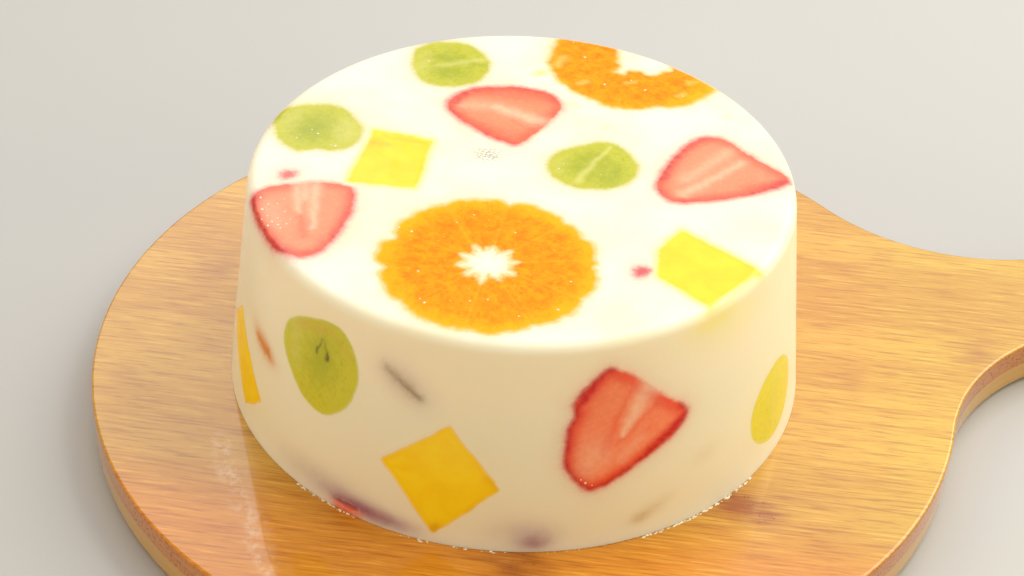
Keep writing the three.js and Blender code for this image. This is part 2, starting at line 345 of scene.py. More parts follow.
def slice_rims(radius, phase, seed, bites, count=460):
    """Outer and inner edge of a whole slice at evenly spaced angles."""
    angle = TAU * np.arange(count) / count
    between = 1 - np.abs(np.sin(SLICE_SEGMENTS / 2 * (angle - phase)))
    ragged = wobble(angle / TAU, seed, (7, 11, 17, 23, 31, 43), 0.45)
    inner_ragged = wobble(angle / TAU, seed + 1, (5, 11, 17, 29, 43), 0.2)
    outer = radius - SLICE_DRAWN_IN * between ** SLICE_NOTCH + SLICE_RAGGED * ragged
    for degrees, depth, width in bites:
        off = (np.degrees(angle) - degrees + 180) % 360 - 180
        outer = outer - depth * np.exp(-(off / width) ** 2)
    inner = SLICE_CORE + SLICE_RAY * between ** SLICE_RAY_POWER + CORE_RAGGED * inner_ragged
    return angle, outer, inner


def polar(radius, angle):
    return np.stack([radius * np.cos(angle), radius * np.sin(angle)], -1)


# ---- the pieces ----

class Piece:
    """A piece of fruit: where it lies on the jelly, and its outline in its own flat place.

    A wall piece's place is the plane that touches the wall at its origin. A top piece's is
    the top, with the rim and the wall unrolled round it.
    """

    def __init__(self, name, place, outline, hole=None, chip=False, **facts):
        self.name = name
        self.kind = name.split("_")[0]
        self.on_top = place[0] == "top"
        self.side = "_top" if self.on_top else "_wall"
        self.chip = chip
        size = "chip" if chip else self.kind
        self.depth = DEPTH[size]
        self.margin = MARGIN[size + self.side]
        self.domed = chip or self.kind in ("grape", "strawberry")
        self.skin = 0.3 if chip else 0.6
        self.facts = facts
        self.hole = hole
        if self.on_top:
            self.centre = np.array(place[1:])
            self.origin = np.array([place[1], place[2], HEIGHT])
            self.axes = np.eye(3)
            outline = unroll(outline + self.centre) - self.centre
        else:
            azimuth, height = math.radians(place[1]), place[2]
            radius = wall_radius(height)
            c, s = math.cos(azimuth), math.sin(azimuth)
            self.origin = np.array([radius * c, radius * s, height])
            right = np.array([-s, c, 0.0])
            out = np.array([c * math.cos(LEAN), s * math.cos(LEAN), math.sin(LEAN)])
            self.axes = np.array([right, np.cross(out, right), out])
        self.outline = outline
        self.reach = np.linalg.norm(outline, axis=1).max()

    def local(self, points):
        """The jelly's points in the piece's own place."""
        if self.on_top:
            radius = np.maximum(from_axis(points), TINY)
            return points[:, :2] * (path_of(points) / radius)[:, None] - self.centre
        return (points - self.origin) @ self.axes[:2].T

    def surface(self, flat):
        """The jelly's surface over points of the piece's own place."""
        if self.on_top:
            x, y = (flat + self.centre).T
            return surface_point(np.hypot(x, y), np.arctan2(y, x))
        points = self.origin + flat @ self.axes[:2]
        out = self.axes[2]
        for _ in range(5):
            radius = from_axis(points)
            miss = radius - wall_radius(points[:, 2])
            slope = (points[:, :2] @ out[:2]) / radius + out[2] * math.tan(LEAN)
            points = points - (miss / slope)[:, None] * out
        return points

    def distance(self, flat):
        """Signed distance in the piece's place, negative on the piece."""
        away = signed_distance(flat, self.outline)
        if self.hole is not None:
            away = np.maximum(away, -signed_distance(flat, self.hole))
        return away

    def share(self, flat):
        """0 at the piece's origin, 1 at its outline."""
        angle = angle_of(flat) % TAU
        edge_angle = angle_of(self.outline) % TAU
        order = np.argsort(edge_angle)
        edge = np.linalg.norm(self.outline[order], axis=1)
        at = np.interp(angle, edge_angle[order], edge, period=TAU)
        return np.linalg.norm(flat, axis=1) / at

    def body_depth(self, share):
        """Depth of the piece below the jelly's surface."""
        if self.domed:
            return self.skin + (self.depth - self.skin) * np.sqrt(np.clip(1 - share ** 2, 0, 1))
        return np.full_like(share, self.depth)

    def shown(self, away, flat):
        """How much of its own colour shows through the milk over its edge and beside it."""
        edge, veil, ragged, width, glow, glow_width = self.margin
        away = away - ragged * (0.3 * lattice_noise(flat + 50, 0.9, 5) + 0.3 * lattice_noise(flat, 2.6, 6))
        past = np.clip(away, 0, None)
        halo = (edge - glow) * np.exp(-(past / width) ** 1.3) + glow * np.exp(-past / glow_width)
        return np.where(away > 0, halo, edge + (1 - edge) * smooth(0, veil, -away))

    def skinned(self, flat):
        """1 beside an edge that has its skin, less where the fruit is cut across."""
        share = np.ones(len(flat))
        for x0, y0, x1, y1 in self.facts.get("cut", ()):
            share *= 0.12 + 0.88 * smooth(0.6, 3.6, to_segment(flat, (x0, y0), (x1, y1))[0])
        return share

    def tint(self, flat):
        """The colour of its edge and of what it lends the milk."""
        share = self.skinned(flat)[:, None]
        own = EDGE[self.name if self.name in EDGE else self.kind + self.side][:3] * np.ones((len(flat), 1))
        if "foot" in self.facts:
            low = smooth(0.5, -0.9, flat[:, 1])[:, None]
            own = low * self.facts["foot"][:3] + (1 - low) * own
        return share * own + (1 - share) * EDGE["cut"][:3]


def colour(red, green, blue):
    """A colour given as it looks on screen, 0 to 255."""
    v = np.array([red, green, blue, 255]) / 255
    return np.where(v <= 0.04045, v / 12.92, ((v + 0.055) / 1.055) ** 2.4)


# The colour of each piece's edge, which it also lends the milk beside it.
EDGE = {name: colour(*seen) for name, seen in {
    "grape_top": (204, 188, 92),
    "grape_wall": (206, 200, 50),
    "strawberry_top": (222, 84, 78),
    "strawberry_wall": (216, 62, 56),
    "mango_top": (249, 218, 84),
    "mango_wall": (246, 196, 44),
    "mandarin_top": (251, 182, 54),
    "cut": (247, 166, 138),
    "strawberry_chip_front": (212, 96, 98),
    "strawberry_chip_left": (214, 112, 106),
    "grape_chip_front": (190, 168, 140),
    "strawberry_chip_foot": (152, 88, 106),
    "mandarin_chip_left": (216, 142, 76),
}.items()}

# How the edge of a piece shows: the share of its own colour at the edge, over what width milk
# clouds it inside, how ragged that is, the width of the halo outside, and the strength and the
# width of the glow beyond.
MARGIN = {
    "grape_top": (0.7, 0.9, 0.6, 0.9, 0.13, 3.0),
    "grape_wall": (0.9, 0.5, 0.15, 0.35, 0.07, 2.6),
    "strawberry_top": (0.66, 1.0, 0.7, 0.8, 0.24, 2.2),
    "strawberry_wall": (0.78, 0.8, 0.5, 0.7, 0.28, 2.0),
    "mango_top": (0.64, 1.3, 0.5, 0.9, 0.08, 2.4),
    "mango_wall": (0.85, 0.45, 0.3, 0.35, 0.06, 2.2),
    "mandarin_top": (0.66, 1.4, 0.9, 0.8, 0.1, 2.4),
    "chip_top": (0.8, 0.8, 0.7, 1.0, 0.36, 2.8),
    "chip_wall": (0.85, 0.5, 0.8, 1.2, 0.22, 2.4),
}


def at_top(x, y):
    return ("top", x, y)


def at_wall(azimuth, height):
    return ("wall", azimuth, height)


RIM_REACH = RIM_X + 0.87 * RIM_RADIUS


def held_in_rim(name, place, outline, most=RIM_REACH, **facts):
    """A top piece whose outline stays on the rim's curve."""
    origin = np.array(place[1:])
    points = outline + origin
    radius = np.linalg.norm(points, axis=1)
    points *= (np.minimum(radius, most) / radius)[:, None]
    return Piece(name, place, points - origin, **facts)


def whole_slice(name, place, radius, phase_degrees, seed, bites):
    phase = math.radians(phase_degrees)
    angle, outer, inner = slice_rims(radius, phase, seed, bites)
    return Piece(name, place, polar(outer, angle), hole=polar(inner, angle),
                 phase=phase, angle=angle, outer=outer, inner=inner)


# Strokes (pale, deep, red, tan, seeds) are rows of x, y and half width at both ends, and a
# strength. A cut is a straight side without skin, from x, y to x, y. Dots are seed pits: from
# and to which angle, how many, how strong.
PIECES = [
    # on the top
    Piece("grape_top_back", at_top(-22.7, 55.5), through([
        (11.7, -1), (10.9, 4), (6.9, 9.9), (0.8, 12.2), (-6.1, 11.6), (-10.6, 7.2), (-11.2, -1.8),
        (-7.7, -10.3), (-2.4, -12.6), (4.8, -11.4), (9.6, -7.7)], ripple=0.1, seed=11),
          pale=[(-3.9, -1.2, 1.2, 9.2, 3.2, 1.5, 0.8), (-9, -4, 2.5, -7, 3, 2.5, 0.4)],
          deep=[(-6.5, 3.8, 1.3, 10.4, 0.2, 1.6, 0.6), (-2, -5, 3, 4, -6, 3, 0.5),
                (-5, 4, 1, -3, 4, 1, 0.5)]),
    held_in_rim("grape_top_left", at_top(-57.2, 18.1), through([
        (11.9, -0.4), (9.5, 6.1), (4.9, 11.3), (-0.6, 12.6), (-8.7, 11), (-12.9, 7.5), (-13.7, 2.5),
        (-12, -4.5), (-9.2, -9.3), (-5.4, -11.8), (0.2, -10.6), (6.6, -10.4), (10.9, -6.1)],
        ripple=0.1, seed=12),
                pale=[(7.5, -2, 4.5, 7, 2, 4, 0.6), (-9, 2, 2.5, -7, 7, 2, 0.3)],
                deep=[(-4.1, -1.5, 4.2, -2, 1, 3.5, 0.8), (-7, 5, 3, 2, 8, 2.5, 0.3)]),
    Piece("grape_top_middle", at_top(19.6, 5.1), through([
        (12.4, -0.5), (9.6, 8.2), (5, 12.6), (-1.2, 11.7), (-8.1, 8.4), (-11.4, 5.4), (-13.1, -0.7),
        (-11.6, -5.4), (-7.4, -9.4), (-1.1, -10.9), (5.7, -9.5), (10.4, -5.7)], ripple=0.1, seed=13),
          pale=[(-5.0, -6.8, 1.25, 4.5, 10.0, 0.5, 0.95), (-10, -2, 2.5, -9, 3, 2, 0.3)],
          deep=[(-6.4, -1, 3, -1, 6, 2.5, 0.5), (4, -6.5, 3.5, 6, -2, 3, 0.8)]),
    Piece("strawberry_top_back", at_top(-5.7, 31.2), through([
        (16.5, 5.5), (10, 12), (0, 13.5), (-12.5, 10.3), (-17.2, 2.5), (-11.8, -6.8),
        (-1, -15.5), (3.8, -17.1), (10.1, -9.4)], seed=21), calyx=(10.5, -5.5), tip=(-17.2, 3.5),
          cut=[(16.5, 5.5, 10.1, -9.4), (10.1, -9.4, 5.5, -15)], skin=1.8, dots=[(140, 200, 9, 0.5)],
          red=[(-16.6, -1, 1.5, -12, 9.6, 1.7, 0.8), (-12, 10, 1.3, 0, 13, 1.2, 0.6)],
          pale=[(-12, 2.6, 2.2, -2, 2.6, 2.6, 0.5), (-3, 2.2, 2.0, 9.6, -4.2, 2.6, 0.95)],
          deep=[(-9, 9.5, 2.6, 12, 8, 3.2, 0.75), (-9, -7, 2.4, 4, -13, 3, 0.6),
                (2, -4.6, 0.8, 8, -9, 1.2, 0.4), (-14, 6, 1.4, -12, 8, 1.2, 0.7)]),
    held_in_rim("strawberry_top_right", at_top(53.3, 5.2), through([
        (20.3, -2.3), (11.3, 8.5), (1.5, 17.8), (-4.5, 16.8), (-13.1, 4.5), (-16.8, -9),
        (-12.5, -15.2), (-1, -13.7), (13, -8.6)], seed=22), calyx=(12, 7), tip=(-16.5, -11),
                cut=[(2.5, 15.5, 17.5, 0.5)], dots=[(150, 215, 16, 0.8), (300, 340, 6, 0.4)],
                red=[(10, -9.2, 1.2, 20, -2.6, 2.2, 0.9), (-3, 16.6, 1.4, -9, 10.5, 1.3, 0.7),
                     (-9, 10.5, 1.3, -16, -6, 1.6, 0.8), (-12, -14.8, 1.0, 4, -12.2, 0.9, 0.7)],
                pale=[(-9.5, -11, 1.8, 7.5, 5.2, 1.4, 0.7), (-8.5, -4, 2.2, 4, 10.5, 2.2, 0.5)],
                deep=[(-4, -7.5, 0.8, 6, 2.2, 0.7, 0.3), (9, -7, 2.6, 17, -3.6, 2, 0.9),
                      (-6, 14, 2, 0, 16, 1.6, 0.6), (-4, -12.4, 1.4, 9, -9, 1.6, 0.5)]),
    held_in_rim("strawberry_top_left", at_top(-58.4, -23.6), through([
        (13.9, 6.5), (11.5, 14.5), (-4.5, 14.3), (-13.6, 9.5), (-13.8, -3), (-6.9, -13.8),
        (1.2, -19.2), (7.5, -15.5)], seed=23), calyx=(0.5, 14.6), tip=(1.2, -19.2),
                cut=[(-12, 12.6, 11, 14.6)], dots=[(158, 262, 44, 1.0), (296, 372, 16, 0.55)],
                red=[(-13.4, 9, 1.5, -13.6, -3, 2.0, 0.9), (-13.4, -4, 1.9, -2, -17.6, 1.7, 0.85),
                     (-2, -17.8, 1.5, 7, -15.6, 1.2, 0.7), (8, -15, 1.0, 13.8, 8, 1.0, 0.6)],
                pale=[(-2.2, 14, 1.8, -0.8, 1.5, 1.1, 0.7), (2.6, 14, 1.8, 3.4, -5.5, 1.1, 0.75),
                      (0, 15, 3.0, 0.3, 8, 1.8, 0.7), (-9, 2, 3.5, -6, -4, 3.0, 0.25)],
                deep=[(-0.3, 0.5, 1.0, 1.4, -9.5, 1.4, 0.75), (2.4, -2.5, 0.7, 1.6, -9.5, 1.2, 0.6),
                      (-13.6, 4.5, 1.6, -12.4, -4.5, 1.5, 0.9), (-12, -5, 1.4, -4, -17, 1.2, 0.85)]),
    Piece("mango_top_left", at_top(-36.3, 4.5),
          cut_corners([(11.6, 10.6), (-6.5, 15.2), (-12, -12.4), (8, -14.1)], seed=31, corner_radius=2.2),
          deep=[(-5.5, 7.5, 2.2, -2, 7, 1.4, 0.5), (-3, 11, 0.6, 9, 8.4, 0.6, 0.3)]),
    held_in_rim("mango_top_front", at_top(48.1, -38.7), cut_corners([
        (15.8, -0.3), (-5.1, 17), (-12.3, 6.8), (-12.9, -5.3), (0.9, -17.4)], seed=32)),
    whole_slice("mandarin_top_front", at_top(-8.1, -41.4), radius=29.2, phase_degrees=8, seed=41, bites=[
        (159, 2.4, 3.2), (188, 1.0, 2.5), (1, 0.9, 2.5), (80, 0.9, 3), (28, 0.8, 4), (218, 0.9, 5),
        (283, 0.7, 3)]),
    held_in_rim("mandarin_top_back", at_top(29.5, 60.5), through([
        (28, -10.5), (24, -3), (18, 1), (13.6, 1), (12.6, -2.8), (9.4, -4.4), (6.4, -5.8),
        (4.5, -4.2), (2.4, -3.6), (0.2, -4.2), (-1.2, -6), (-3.2, -5), (-1.9, -1.5), (-2.6, 3),
        (-2.8, 8), (-3.5, 14), (-12, 16), (-19.5, 13.5), (-22.3, 7), (-23.4, -3), (-20.4, -12.2),
        (-13, -19.2), (-5.5, -24.6), (0.6, -25.6), (8.6, -23.6), (13, -23.2), (19.3, -20),
        (24.6, -14.8)], count=420, ripple=0.2, seed=43), most=TOP_RADIUS - 1.0, phase=math.radians(120),
                pale=[(-20.5, -2.5, 1.6, -19, 1.5, 1.6, 0.6), (-14, -12.4, 1.1, -12, -11, 1.2, 0.6),
                      (-0.8, -10.9, 0.8, 1.4, -10.4, 0.9, 0.6), (18, -9.3, 1.0, 20, -8.7, 0.8, 0.55),
                      (14.8, -16.9, 0.9, 16.8, -15.8, 0.8, 0.5), (-4.5, -5.2, 0.8, -3.4, -4.8, 0.6, 0.7)]),
    Piece("strawberry_chip_front", at_top(31.9, -41.7), ellipse(2.1, 1.7, 20, 60, 0.2, 51), chip=True),
    Piece("strawberry_chip_left", at_top(-63.9, -5.2), ellipse(1.9, 1.5, 60, 60, 0.2, 52), chip=True),

    # on the wall
    Piece("mango_wall_left", at_wall(-157.7, 18.4),
          cut_corners([(13.1, -4.6), (-7.5, 12.6), (-17.5, 4.2), (3.1, -13)], seed=33)),
    Piece("grape_wall_left", at_wall(-131.1, 41.2), through([
        (13.3, 3), (11.6, 9.1), (7.3, 14.1), (2, 14.2), (-4.2, 12), (-9.5, 9.3), (-13, 5.6),
        (-14, -0.6), (-10.4, -7.2), (-3.9, -13), (3.5, -14.1), (9.9, -8.9), (12.6, -3)],
        ripple=0.03, seed=14), ripe=0.45,
          pale=[(-9.5, 9, 2.2, -8.5, -3, 1.8, 0.35)],
          tan=[(-8, 8.6, 2.2, 3.5, 12.2, 1.8, 0.8), (3.5, 12.2, 1.8, 10.5, 7.5, 1.6, 0.5)],
          deep=[(1.8, 6.5, 4.6, 1.4, 0.0, 4.4, 0.5)],
          seeds=[(0.9, 8.6, 0.35, 0.2, 6.4, 0.4, 0.5), (0.2, 6.4, 0.4, -0.5, 3.0, 0.5, 0.75),
                 (1.5, 8.6, 0.3, 2.9, 5.7, 0.4, 0.55), (2.9, 5.0, 0.4, 2.8, 2.6, 0.62, 1.0)]),
    Piece("mango_wall_front", at_wall(-102.9, 20.2),
          cut_corners([(15.6, -0.5), (1.8, 17.5), (-16.3, 1.8), (-1, -17.3)], seed=34),
          # the strokes along its right side are painted shade; the one at its lowest corner darkens it brown
          deep=[(-1.2, -17.5, 2.2, -0.6, -15, 1.4, 0.8), (15.6, -1.5, 1.2, 8, -9, 1.2, 0.35),
                (12, 3, 1.0, 15, 0, 1.4, 0.3)]),
    Piece("strawberry_wall_front", at_wall(-69.6, 36.2), through([
        (20.4, 0), (18.6, 2.6), (15.3, 5.4), (10.4, 9.5), (5.7, 14.2), (1.2, 17.7), (-2.7, 19.4),
        (-6.8, 16.4), (-10, 13.1), (-12, 9.6), (-11.6, 6.8), (-13.4, 2.4), (-13.8, -2.5), (-14, -8.8),
        (-12.4, -12.4), (-9.8, -16), (-7.1, -18), (-3.3, -17.1), (1, -15), (6.6, -11.9), (15.9, -6.5),
        (19.4, -2.9)],
        ripple=0.05, seed=24), calyx=(8.5, 11), tip=(-7, -18.8),
          cut=[(1, 18.0, 16.5, 4.5)], skin=1.7, dots=[(118, 262, 13, 0.3), (262, 358, 14, 0.35)],
          red=[(-11.8, 8, 1.3, -3.6, 19.6, 1.9, 0.9), (-5, -17.6, 1.5, 3.2, -14.4, 1.7, 0.85),
               (3.2, -14.4, 1.7, 19.4, -1.5, 2.1, 0.9), (-13.6, 3, 1.5, -13.6, -6, 1.5, 0.75)],
          pale=[(8.6, 11.2, 3.6, 1.2, -1.8, 0.8, 1.0), (-6.5, -7, 5.5, -9.0, -11, 4.0, 0.5),
                (1, -9.5, 2.2, 6.5, -4, 2.0, 0.35)],
          deep=[(3.1, 10.7, 1.0, -4.4, -6.6, 1.1, 0.7), (12.2, 6.8, 1.0, -0.4, -4.2, 0.9, 0.65),
                (-3.4, -5.6, 1.1, -1.4, -3.0, 1.4, 0.6), (6.8, -3.5, 1.2, 9, -1.5, 1.0, 0.3),
                (-5, 14, 3, -8, 8, 2.5, 0.35)]),
    Piece("grape_wall_right", at_wall(-26.8, 17.5), ellipse(13, 11.5, 15, seed=15), ripe=1.0,
          pale=[(1, 9, 1.2, -1, -7, 1.0, 0.4)]),

    # on the side that the photograph doesn't show
    Piece("strawberry_wall_right", at_wall(15, 38), through([
        (13.4, 5), (10.5, 15), (-5, 16.5), (-13.5, 10), (-12.5, -4), (-5, -15.5),
        (1.5, -19), (8.2, -11.5)], seed=25), calyx=(1, 16), tip=(1.5, -19),
          cut=[(-5, 16.5, 10.5, 15)], skin=1.5, dots=[(120, 410, 40, 0.6)],
          pale=[(2.6, 13, 2.8, 1.5, -1, 0.8, 0.95), (0.5, -10, 4.5, 1.5, -13, 3, 0.45)],
          deep=[(-0.8, 12, 0.8, 0.4, -4, 1.0, 0.65), (6, 12, 0.8, 2.4, -4, 0.9, 0.6)]),
    Piece("mango_wall_back_right", at_wall(45, 22),
          cut_corners([(14.5, 3.2), (-2.6, 16.4), (-14.6, -1.4), (1.2, -16)], seed=35)),
    Piece("grape_wall_back", at_wall(74, 43), ellipse(13.4, 12.2, 70, seed=16), ripe=0.5,
          deep=[(0.5, 4, 4.4, 0, -2, 4.4, 0.8)],
          seeds=[(-0.6, 5, 0.35, -1.7, 0.2, 0.5, 0.7), (0.9, 5, 0.35, 1.9, -0.4, 0.6, 0.9)]),
    Piece("strawberry_wall_back", at_wall(103, 24), through([
        (19.6, -3), (9, 9.5), (-3, 14.2), (-13, 11.5), (-15.8, 1), (-13.5, -11),
        (-4, -13.8), (8.5, -10.5)], seed=26), calyx=(-14.5, 1), tip=(19.6, -3),
          cut=[(-15.2, 8, -15.4, -7)], skin=1.5, dots=[(-140, 140, 40, 0.6)],
          pale=[(-12.5, 1.4, 2.8, 1, -1, 0.8, 0.9), (8, -1.5, 3.8, 12, -2, 3, 0.45)],
          deep=[(-10, 5, 0.8, 3, 0, 1.0, 0.6), (-10, -3, 0.8, 3, -1.6, 1.0, 0.6)]),
    Piece("mango_wall_back_left", at_wall(132, 44),
          cut_corners([(12, 8.4), (-10.6, 12.4), (-13.4, -8.8), (9.8, -11.6)], seed=36)),
    Piece("grape_wall_back_left", at_wall(156, 19), ellipse(12.6, 11.8, 120, seed=17), ripe=0.8,
          pale=[(4, -6, 1.2, -4.5, 7, 0.6, 0.8)],
          deep=[(-5, -3, 3, -2, 3, 3, 0.6), (5, 2, 3, 3, -3, 3, 0.5)]),

    # slivers at the wall and at the foot
    Piece("mandarin_chip_left", at_wall(-149.1, 31.7), ellipse(4.8, 1.1, -15, 70, 0.15, 53), chip=True),
    Piece("grape_chip_front", at_wall(-111.3, 47), ellipse(6.2, 0.9, -34, 80, 0.12, 54), chip=True,
          seeds=[(-1.2, 0.9, 0.3, 4.0, -2.8, 0.9, 0.3)]),
    Piece("strawberry_chip_foot", at_wall(-121.5, 2.4), ellipse(4.2, 1, -4, 70, 0.12, 55), chip=True,
          foot=colour(234, 106, 74)),
]


# ---- meshes ----

def link(name, data):
    obj = bpy.data.objects.new(name, data)
    bpy.context.scene.collection.objects.link(obj)
    return obj


def new_object(name, points, faces, attributes=None, flat_from=None):
    mesh = bpy.data.meshes.new(name)
    mesh.from_pydata([tuple(p) for p in points], [], faces)
    mesh.validate()
    mesh.update()
    shade = np.full(len(mesh.polygons), True)
    if flat_from is not None:
        shade[flat_from:] = False
    mesh.polygons.foreach_set("use_smooth", shade)
    for key, values in (attributes or {}).items():
        values = np.asarray(values, np.float32)
        if values.ndim == 1:
            mesh.attributes.new(key, "FLOAT", "POINT").data.foreach_set("value", values)
        else:
            mesh.attributes.new(key, "FLOAT_VECTOR", "POINT").data.foreach_set("vector", values.ravel())
    return link(name, mesh)


def triangles(points, edges):
    """Triangles between flat points, whose sides follow the edges."""
    made = delaunay_2d_cdt([Vector(p) for p in points], edges, [], 0, 1e-5, False)
    return np.array([tuple(p) for p in made[0]]), [tuple(t) for t in made[2]]


def band_faces(rings, count, start=0):
    """Quads between rings of count points each, numbered from start."""
    faces = []
    for low in range(start, start + (rings - 1) * count, count):
        for i, j in ring_edges(0, count):
            faces.append((low + i, low + count + i, low + count + j, low + j))
    return faces


def capped_stack(rings):
    """A closed body from a first point, rings of points and a last point."""
    count = len(rings[1])
    points = np.vstack(rings)
    faces = [(0, i, j) for i, j in ring_edges(1, count)]
    faces += band_faces(len(rings) - 2, count, 1)
    last = len(points) - 1
    faces += [(last, j, i) for i, j in ring_edges(last - count, count)]
    return points, faces


# ---- the jelly ----

GRID = 1.45                  # spacing of the points away from the fruit
GRID_ROWS = [                # from, to and step, on the way from the middle of the top to the foot
    (0.0, RIM_X - 0.4, GRID),
    (RIM_X, WALL_PATH, 0.38),
    (WALL_PATH + 0.3, PATH[-1] - 2.2, GRID),
    (PATH[-1] - 1.95, PATH[-1] - 0.8, 0.3),
    (PATH[-1] - 0.7, PATH[-1] - 0.05, 0.11),
]
# Loops of points run beside each piece's edge, at these distances out from it.
LOOPS = (2.4, 1.5, 0.9, LIP, COVER, 0.3, 0.15, 0.0, -0.12, -0.35, -0.9)
EDGE_LOOPS = (0.0, -0.12)    # those that the triangles' edges follow
FULL_LOOP = 1.2              # loops further out than this keep every other point
CLEAR_OUTSIDE = 2.6          # grid points make room for the loops from this far outside an edge
CLEAR_INSIDE = 1.2           # to this far inside it, and further in one of three is kept
FOOT_POINTS = 360
HALO_REACH = 8.0             # a piece's colour reaches this far into the milk
POCKET_ROOM = 0.15           # a pocket's floor lies this far under its piece
POCKET_SLOPE = 9             # and its wall falls this steeply


def piece_distances(points, reach):
    """For each piece that has points within reach: which, how far, and where on it."""
    found = []
    for piece in PIECES:
        near = np.linalg.norm(points - piece.origin, axis=1) < piece.reach + reach + 2
        index = np.flatnonzero(near)
        if len(index) == 0:
            continue
        flat = piece.local(points[index])
        away = piece.distance(flat)
        keep = away < reach
        found.append((piece, index[keep], away[keep], flat[keep]))
    return found


def grid_points():
    """Points of the flat map, evenly spaced on the jelly."""
    points = []
    for row, path in enumerate(np.concatenate([np.arange(*rows) for rows in GRID_ROWS])):
        radius = np.interp(path, PATH, PROFILE[:, 0])
        count = max(1, round(TAU * radius / GRID))
        azimuth = (np.arange(count) + 0.5 * (row % 2)) * TAU / count
        points.append(polar(np.full(count, np.interp(path, PATH, PLANE)), azimuth))
    return np.vstack(points)


def from_map(plane_points):
    """Points of the flat map back on the jelly's surface."""
    radius = from_axis(plane_points)
    path = np.interp(radius, PLANE, PATH)
    return surface_point(path, angle_of(plane_points))


def edge_loops(piece):
    """Loops of the flat map beside a piece's edges, and whether the triangles follow them."""
    for loop, sign in ((piece.outline, 1), (piece.hole, -1)):
        if loop is None:
            continue
        normals = loop_normals(loop) * sign
        for offset in LOOPS:
            moved = loop + normals * offset
            if offset not in EDGE_LOOPS:
                true = np.abs(piece.distance(moved) - offset) < 0.12 + 0.05 * abs(offset)
                true[1::2] &= abs(offset) < FULL_LOOP
                moved = moved[true]
            if len(moved) > 0:
                flat = map_of(piece.surface(moved))
                yield flat[from_axis(flat) < PLANE[-1] - 0.3], offset in EDGE_LOOPS


def jelly_map():
    """Triangles of the flat map, with points packed round every piece's edge."""
    grid = grid_points()
    clear = np.ones(len(grid), bool)
    for _, index, away, _ in piece_distances(from_map(grid), CLEAR_OUTSIDE):
        clear[index[away > -CLEAR_INSIDE]] = False
        clear[index[(away <= -CLEAR_INSIDE) & ((index % 3) > 0)]] = False
    foot = polar(np.full(FOOT_POINTS, PLANE[-1]), np.arange(FOOT_POINTS) * TAU / FOOT_POINTS)
    points = [grid[clear], foot]
    edges = ring_edges(len(points[0]), FOOT_POINTS)
    total = len(points[0]) + FOOT_POINTS
    for piece in PIECES:
        for flat, followed in edge_loops(piece):
            if followed:
                edges += ring_edges(total, len(flat))
            points.append(flat)
            total += len(flat)
    return triangles(np.vstack(points), edges)


# Fruit sunk behind the skin shows as a soft stain, except two spots that are painted shade: the grey one high
# on the left of the wall, and the tall mauve one at its left edge by the foot. Each has its colour, and rows
# of azimuth, height, half length, half height, tilt in degrees and strength.
STAINS = {
    "stain_yellow": ((251, 230, 112), [
        (-48, 60, 9, 3.6, 4, 0.55), (-41, 56, 14, 6, 4, 0.3), (-103, 22, 20, 20, 0, 0.06),
        (45, 24, 20, 20, 0, 0.06)]),
    "stain_olive": ((190, 150, 74), [
        (-64.5, 6.4, 3.2, 1.8, 12, 0.5), (-61, 8.5, 5.0, 2.2, 20, 0.25), (-50, 19, 5, 3, 0, 0.14),
        (120, 8, 5, 2.5, 0, 0.4)]),
    # the second grey spot, high on the left of the wall, is painted shade
    "stain_grey": ((166, 150, 132), [(-131, 6, 14, 5, 0, 0.2), (-162, 44, 14, 18, 0, 0.14)]),
    "stain_mauve": ((178, 148, 164), [
        (-117.5, 3.4, 11, 2.8, -4, 0.8), (-126, 5.0, 13, 4.6, 0, 0.3), (-109, 2.5, 6, 2.6, 0, 0.3),
        # the tall narrow spot at -172 degrees, at the left edge by the foot, is painted shade
        (-84.5, 4.0, 5.2, 3.4, 0, 0.5), (-87, 6, 9, 5, 0, 0.3), (-172, 3, 2.6, 9, 0, 0.4),
        (-111, 47, 8, 5, -34, 0.3), (20, 6, 8, 4, 0, 0.4), (88, 5, 9, 3.5, 0, 0.5),
        (150, 4, 6, 3, 0, 0.4)]),
    "stain_red": ((156, 86, 108), [
        (-116.5, 3.2, 8.2, 2.1, -3, 0.85), (-84.8, 2.6, 3.6, 2.0, 0, 0.5), (90, 3, 4, 1.5, 0, 0.4)]),
    "stain_scarlet": ((236, 108, 76), [(-121.8, 0.2, 4.4, 1.0, 0, 0.95)]),
    "stain_orange": ((222, 150, 84), [(-149.2, 32.3, 6.5, 2.8, -20, 0.6)]),
}

# Bits of zest behind the top: x, y, radius along and across, turn in degrees, strength.
ZEST = [
    (57.7, 34.0, 1.9, 1.3, 30, 0.3), (13.8, 36.6, 1.7, 1.2, 0, 0.35), (23.0, 25.9, 1.5, 1.1, 40, 0.3),
    (3.8, 52.7, 2.2, 1.4, 20, 1.0),
]

# A cluster of small seeds behind the top: where, and how far it spreads each way.
SUNK_SEEDS = (-9.9, 9.0, HEIGHT)
SUNK_SEEDS_SPREAD = (4.6, 3.8, 1.0)


def stain(points, spots):
    """How strongly a stain shows on the wall."""
    azimuth = np.degrees(angle_of(points))
    total = np.zeros(len(points))
    for at, height, long, tall, tilt, strength in spots:
        off = (azimuth - at + 180) % 360 - 180
        across = np.radians(off) * BASE_RADIUS
        u, v = along_across(across, points[:, 2] - height, math.radians(tilt))
        total += strength * np.exp(-((u / long) ** 2 + (v / tall) ** 2))
    return np.where(points[:, 2] < HEIGHT - 0.5, total, 0)


def zest(points):
    """How strongly the bits of zest show on the top."""
    total = np.zeros(len(points))
    for x, y, long, wide, degrees, strength in ZEST:
        u, v = along_across(points[:, 0] - x, points[:, 1] - y, math.radians(degrees))
        total += strength * np.exp(-(u / long) ** 2 - (v / wide) ** 2)
    return np.where(points[:, 2] > HEIGHT - 1, total, 0)


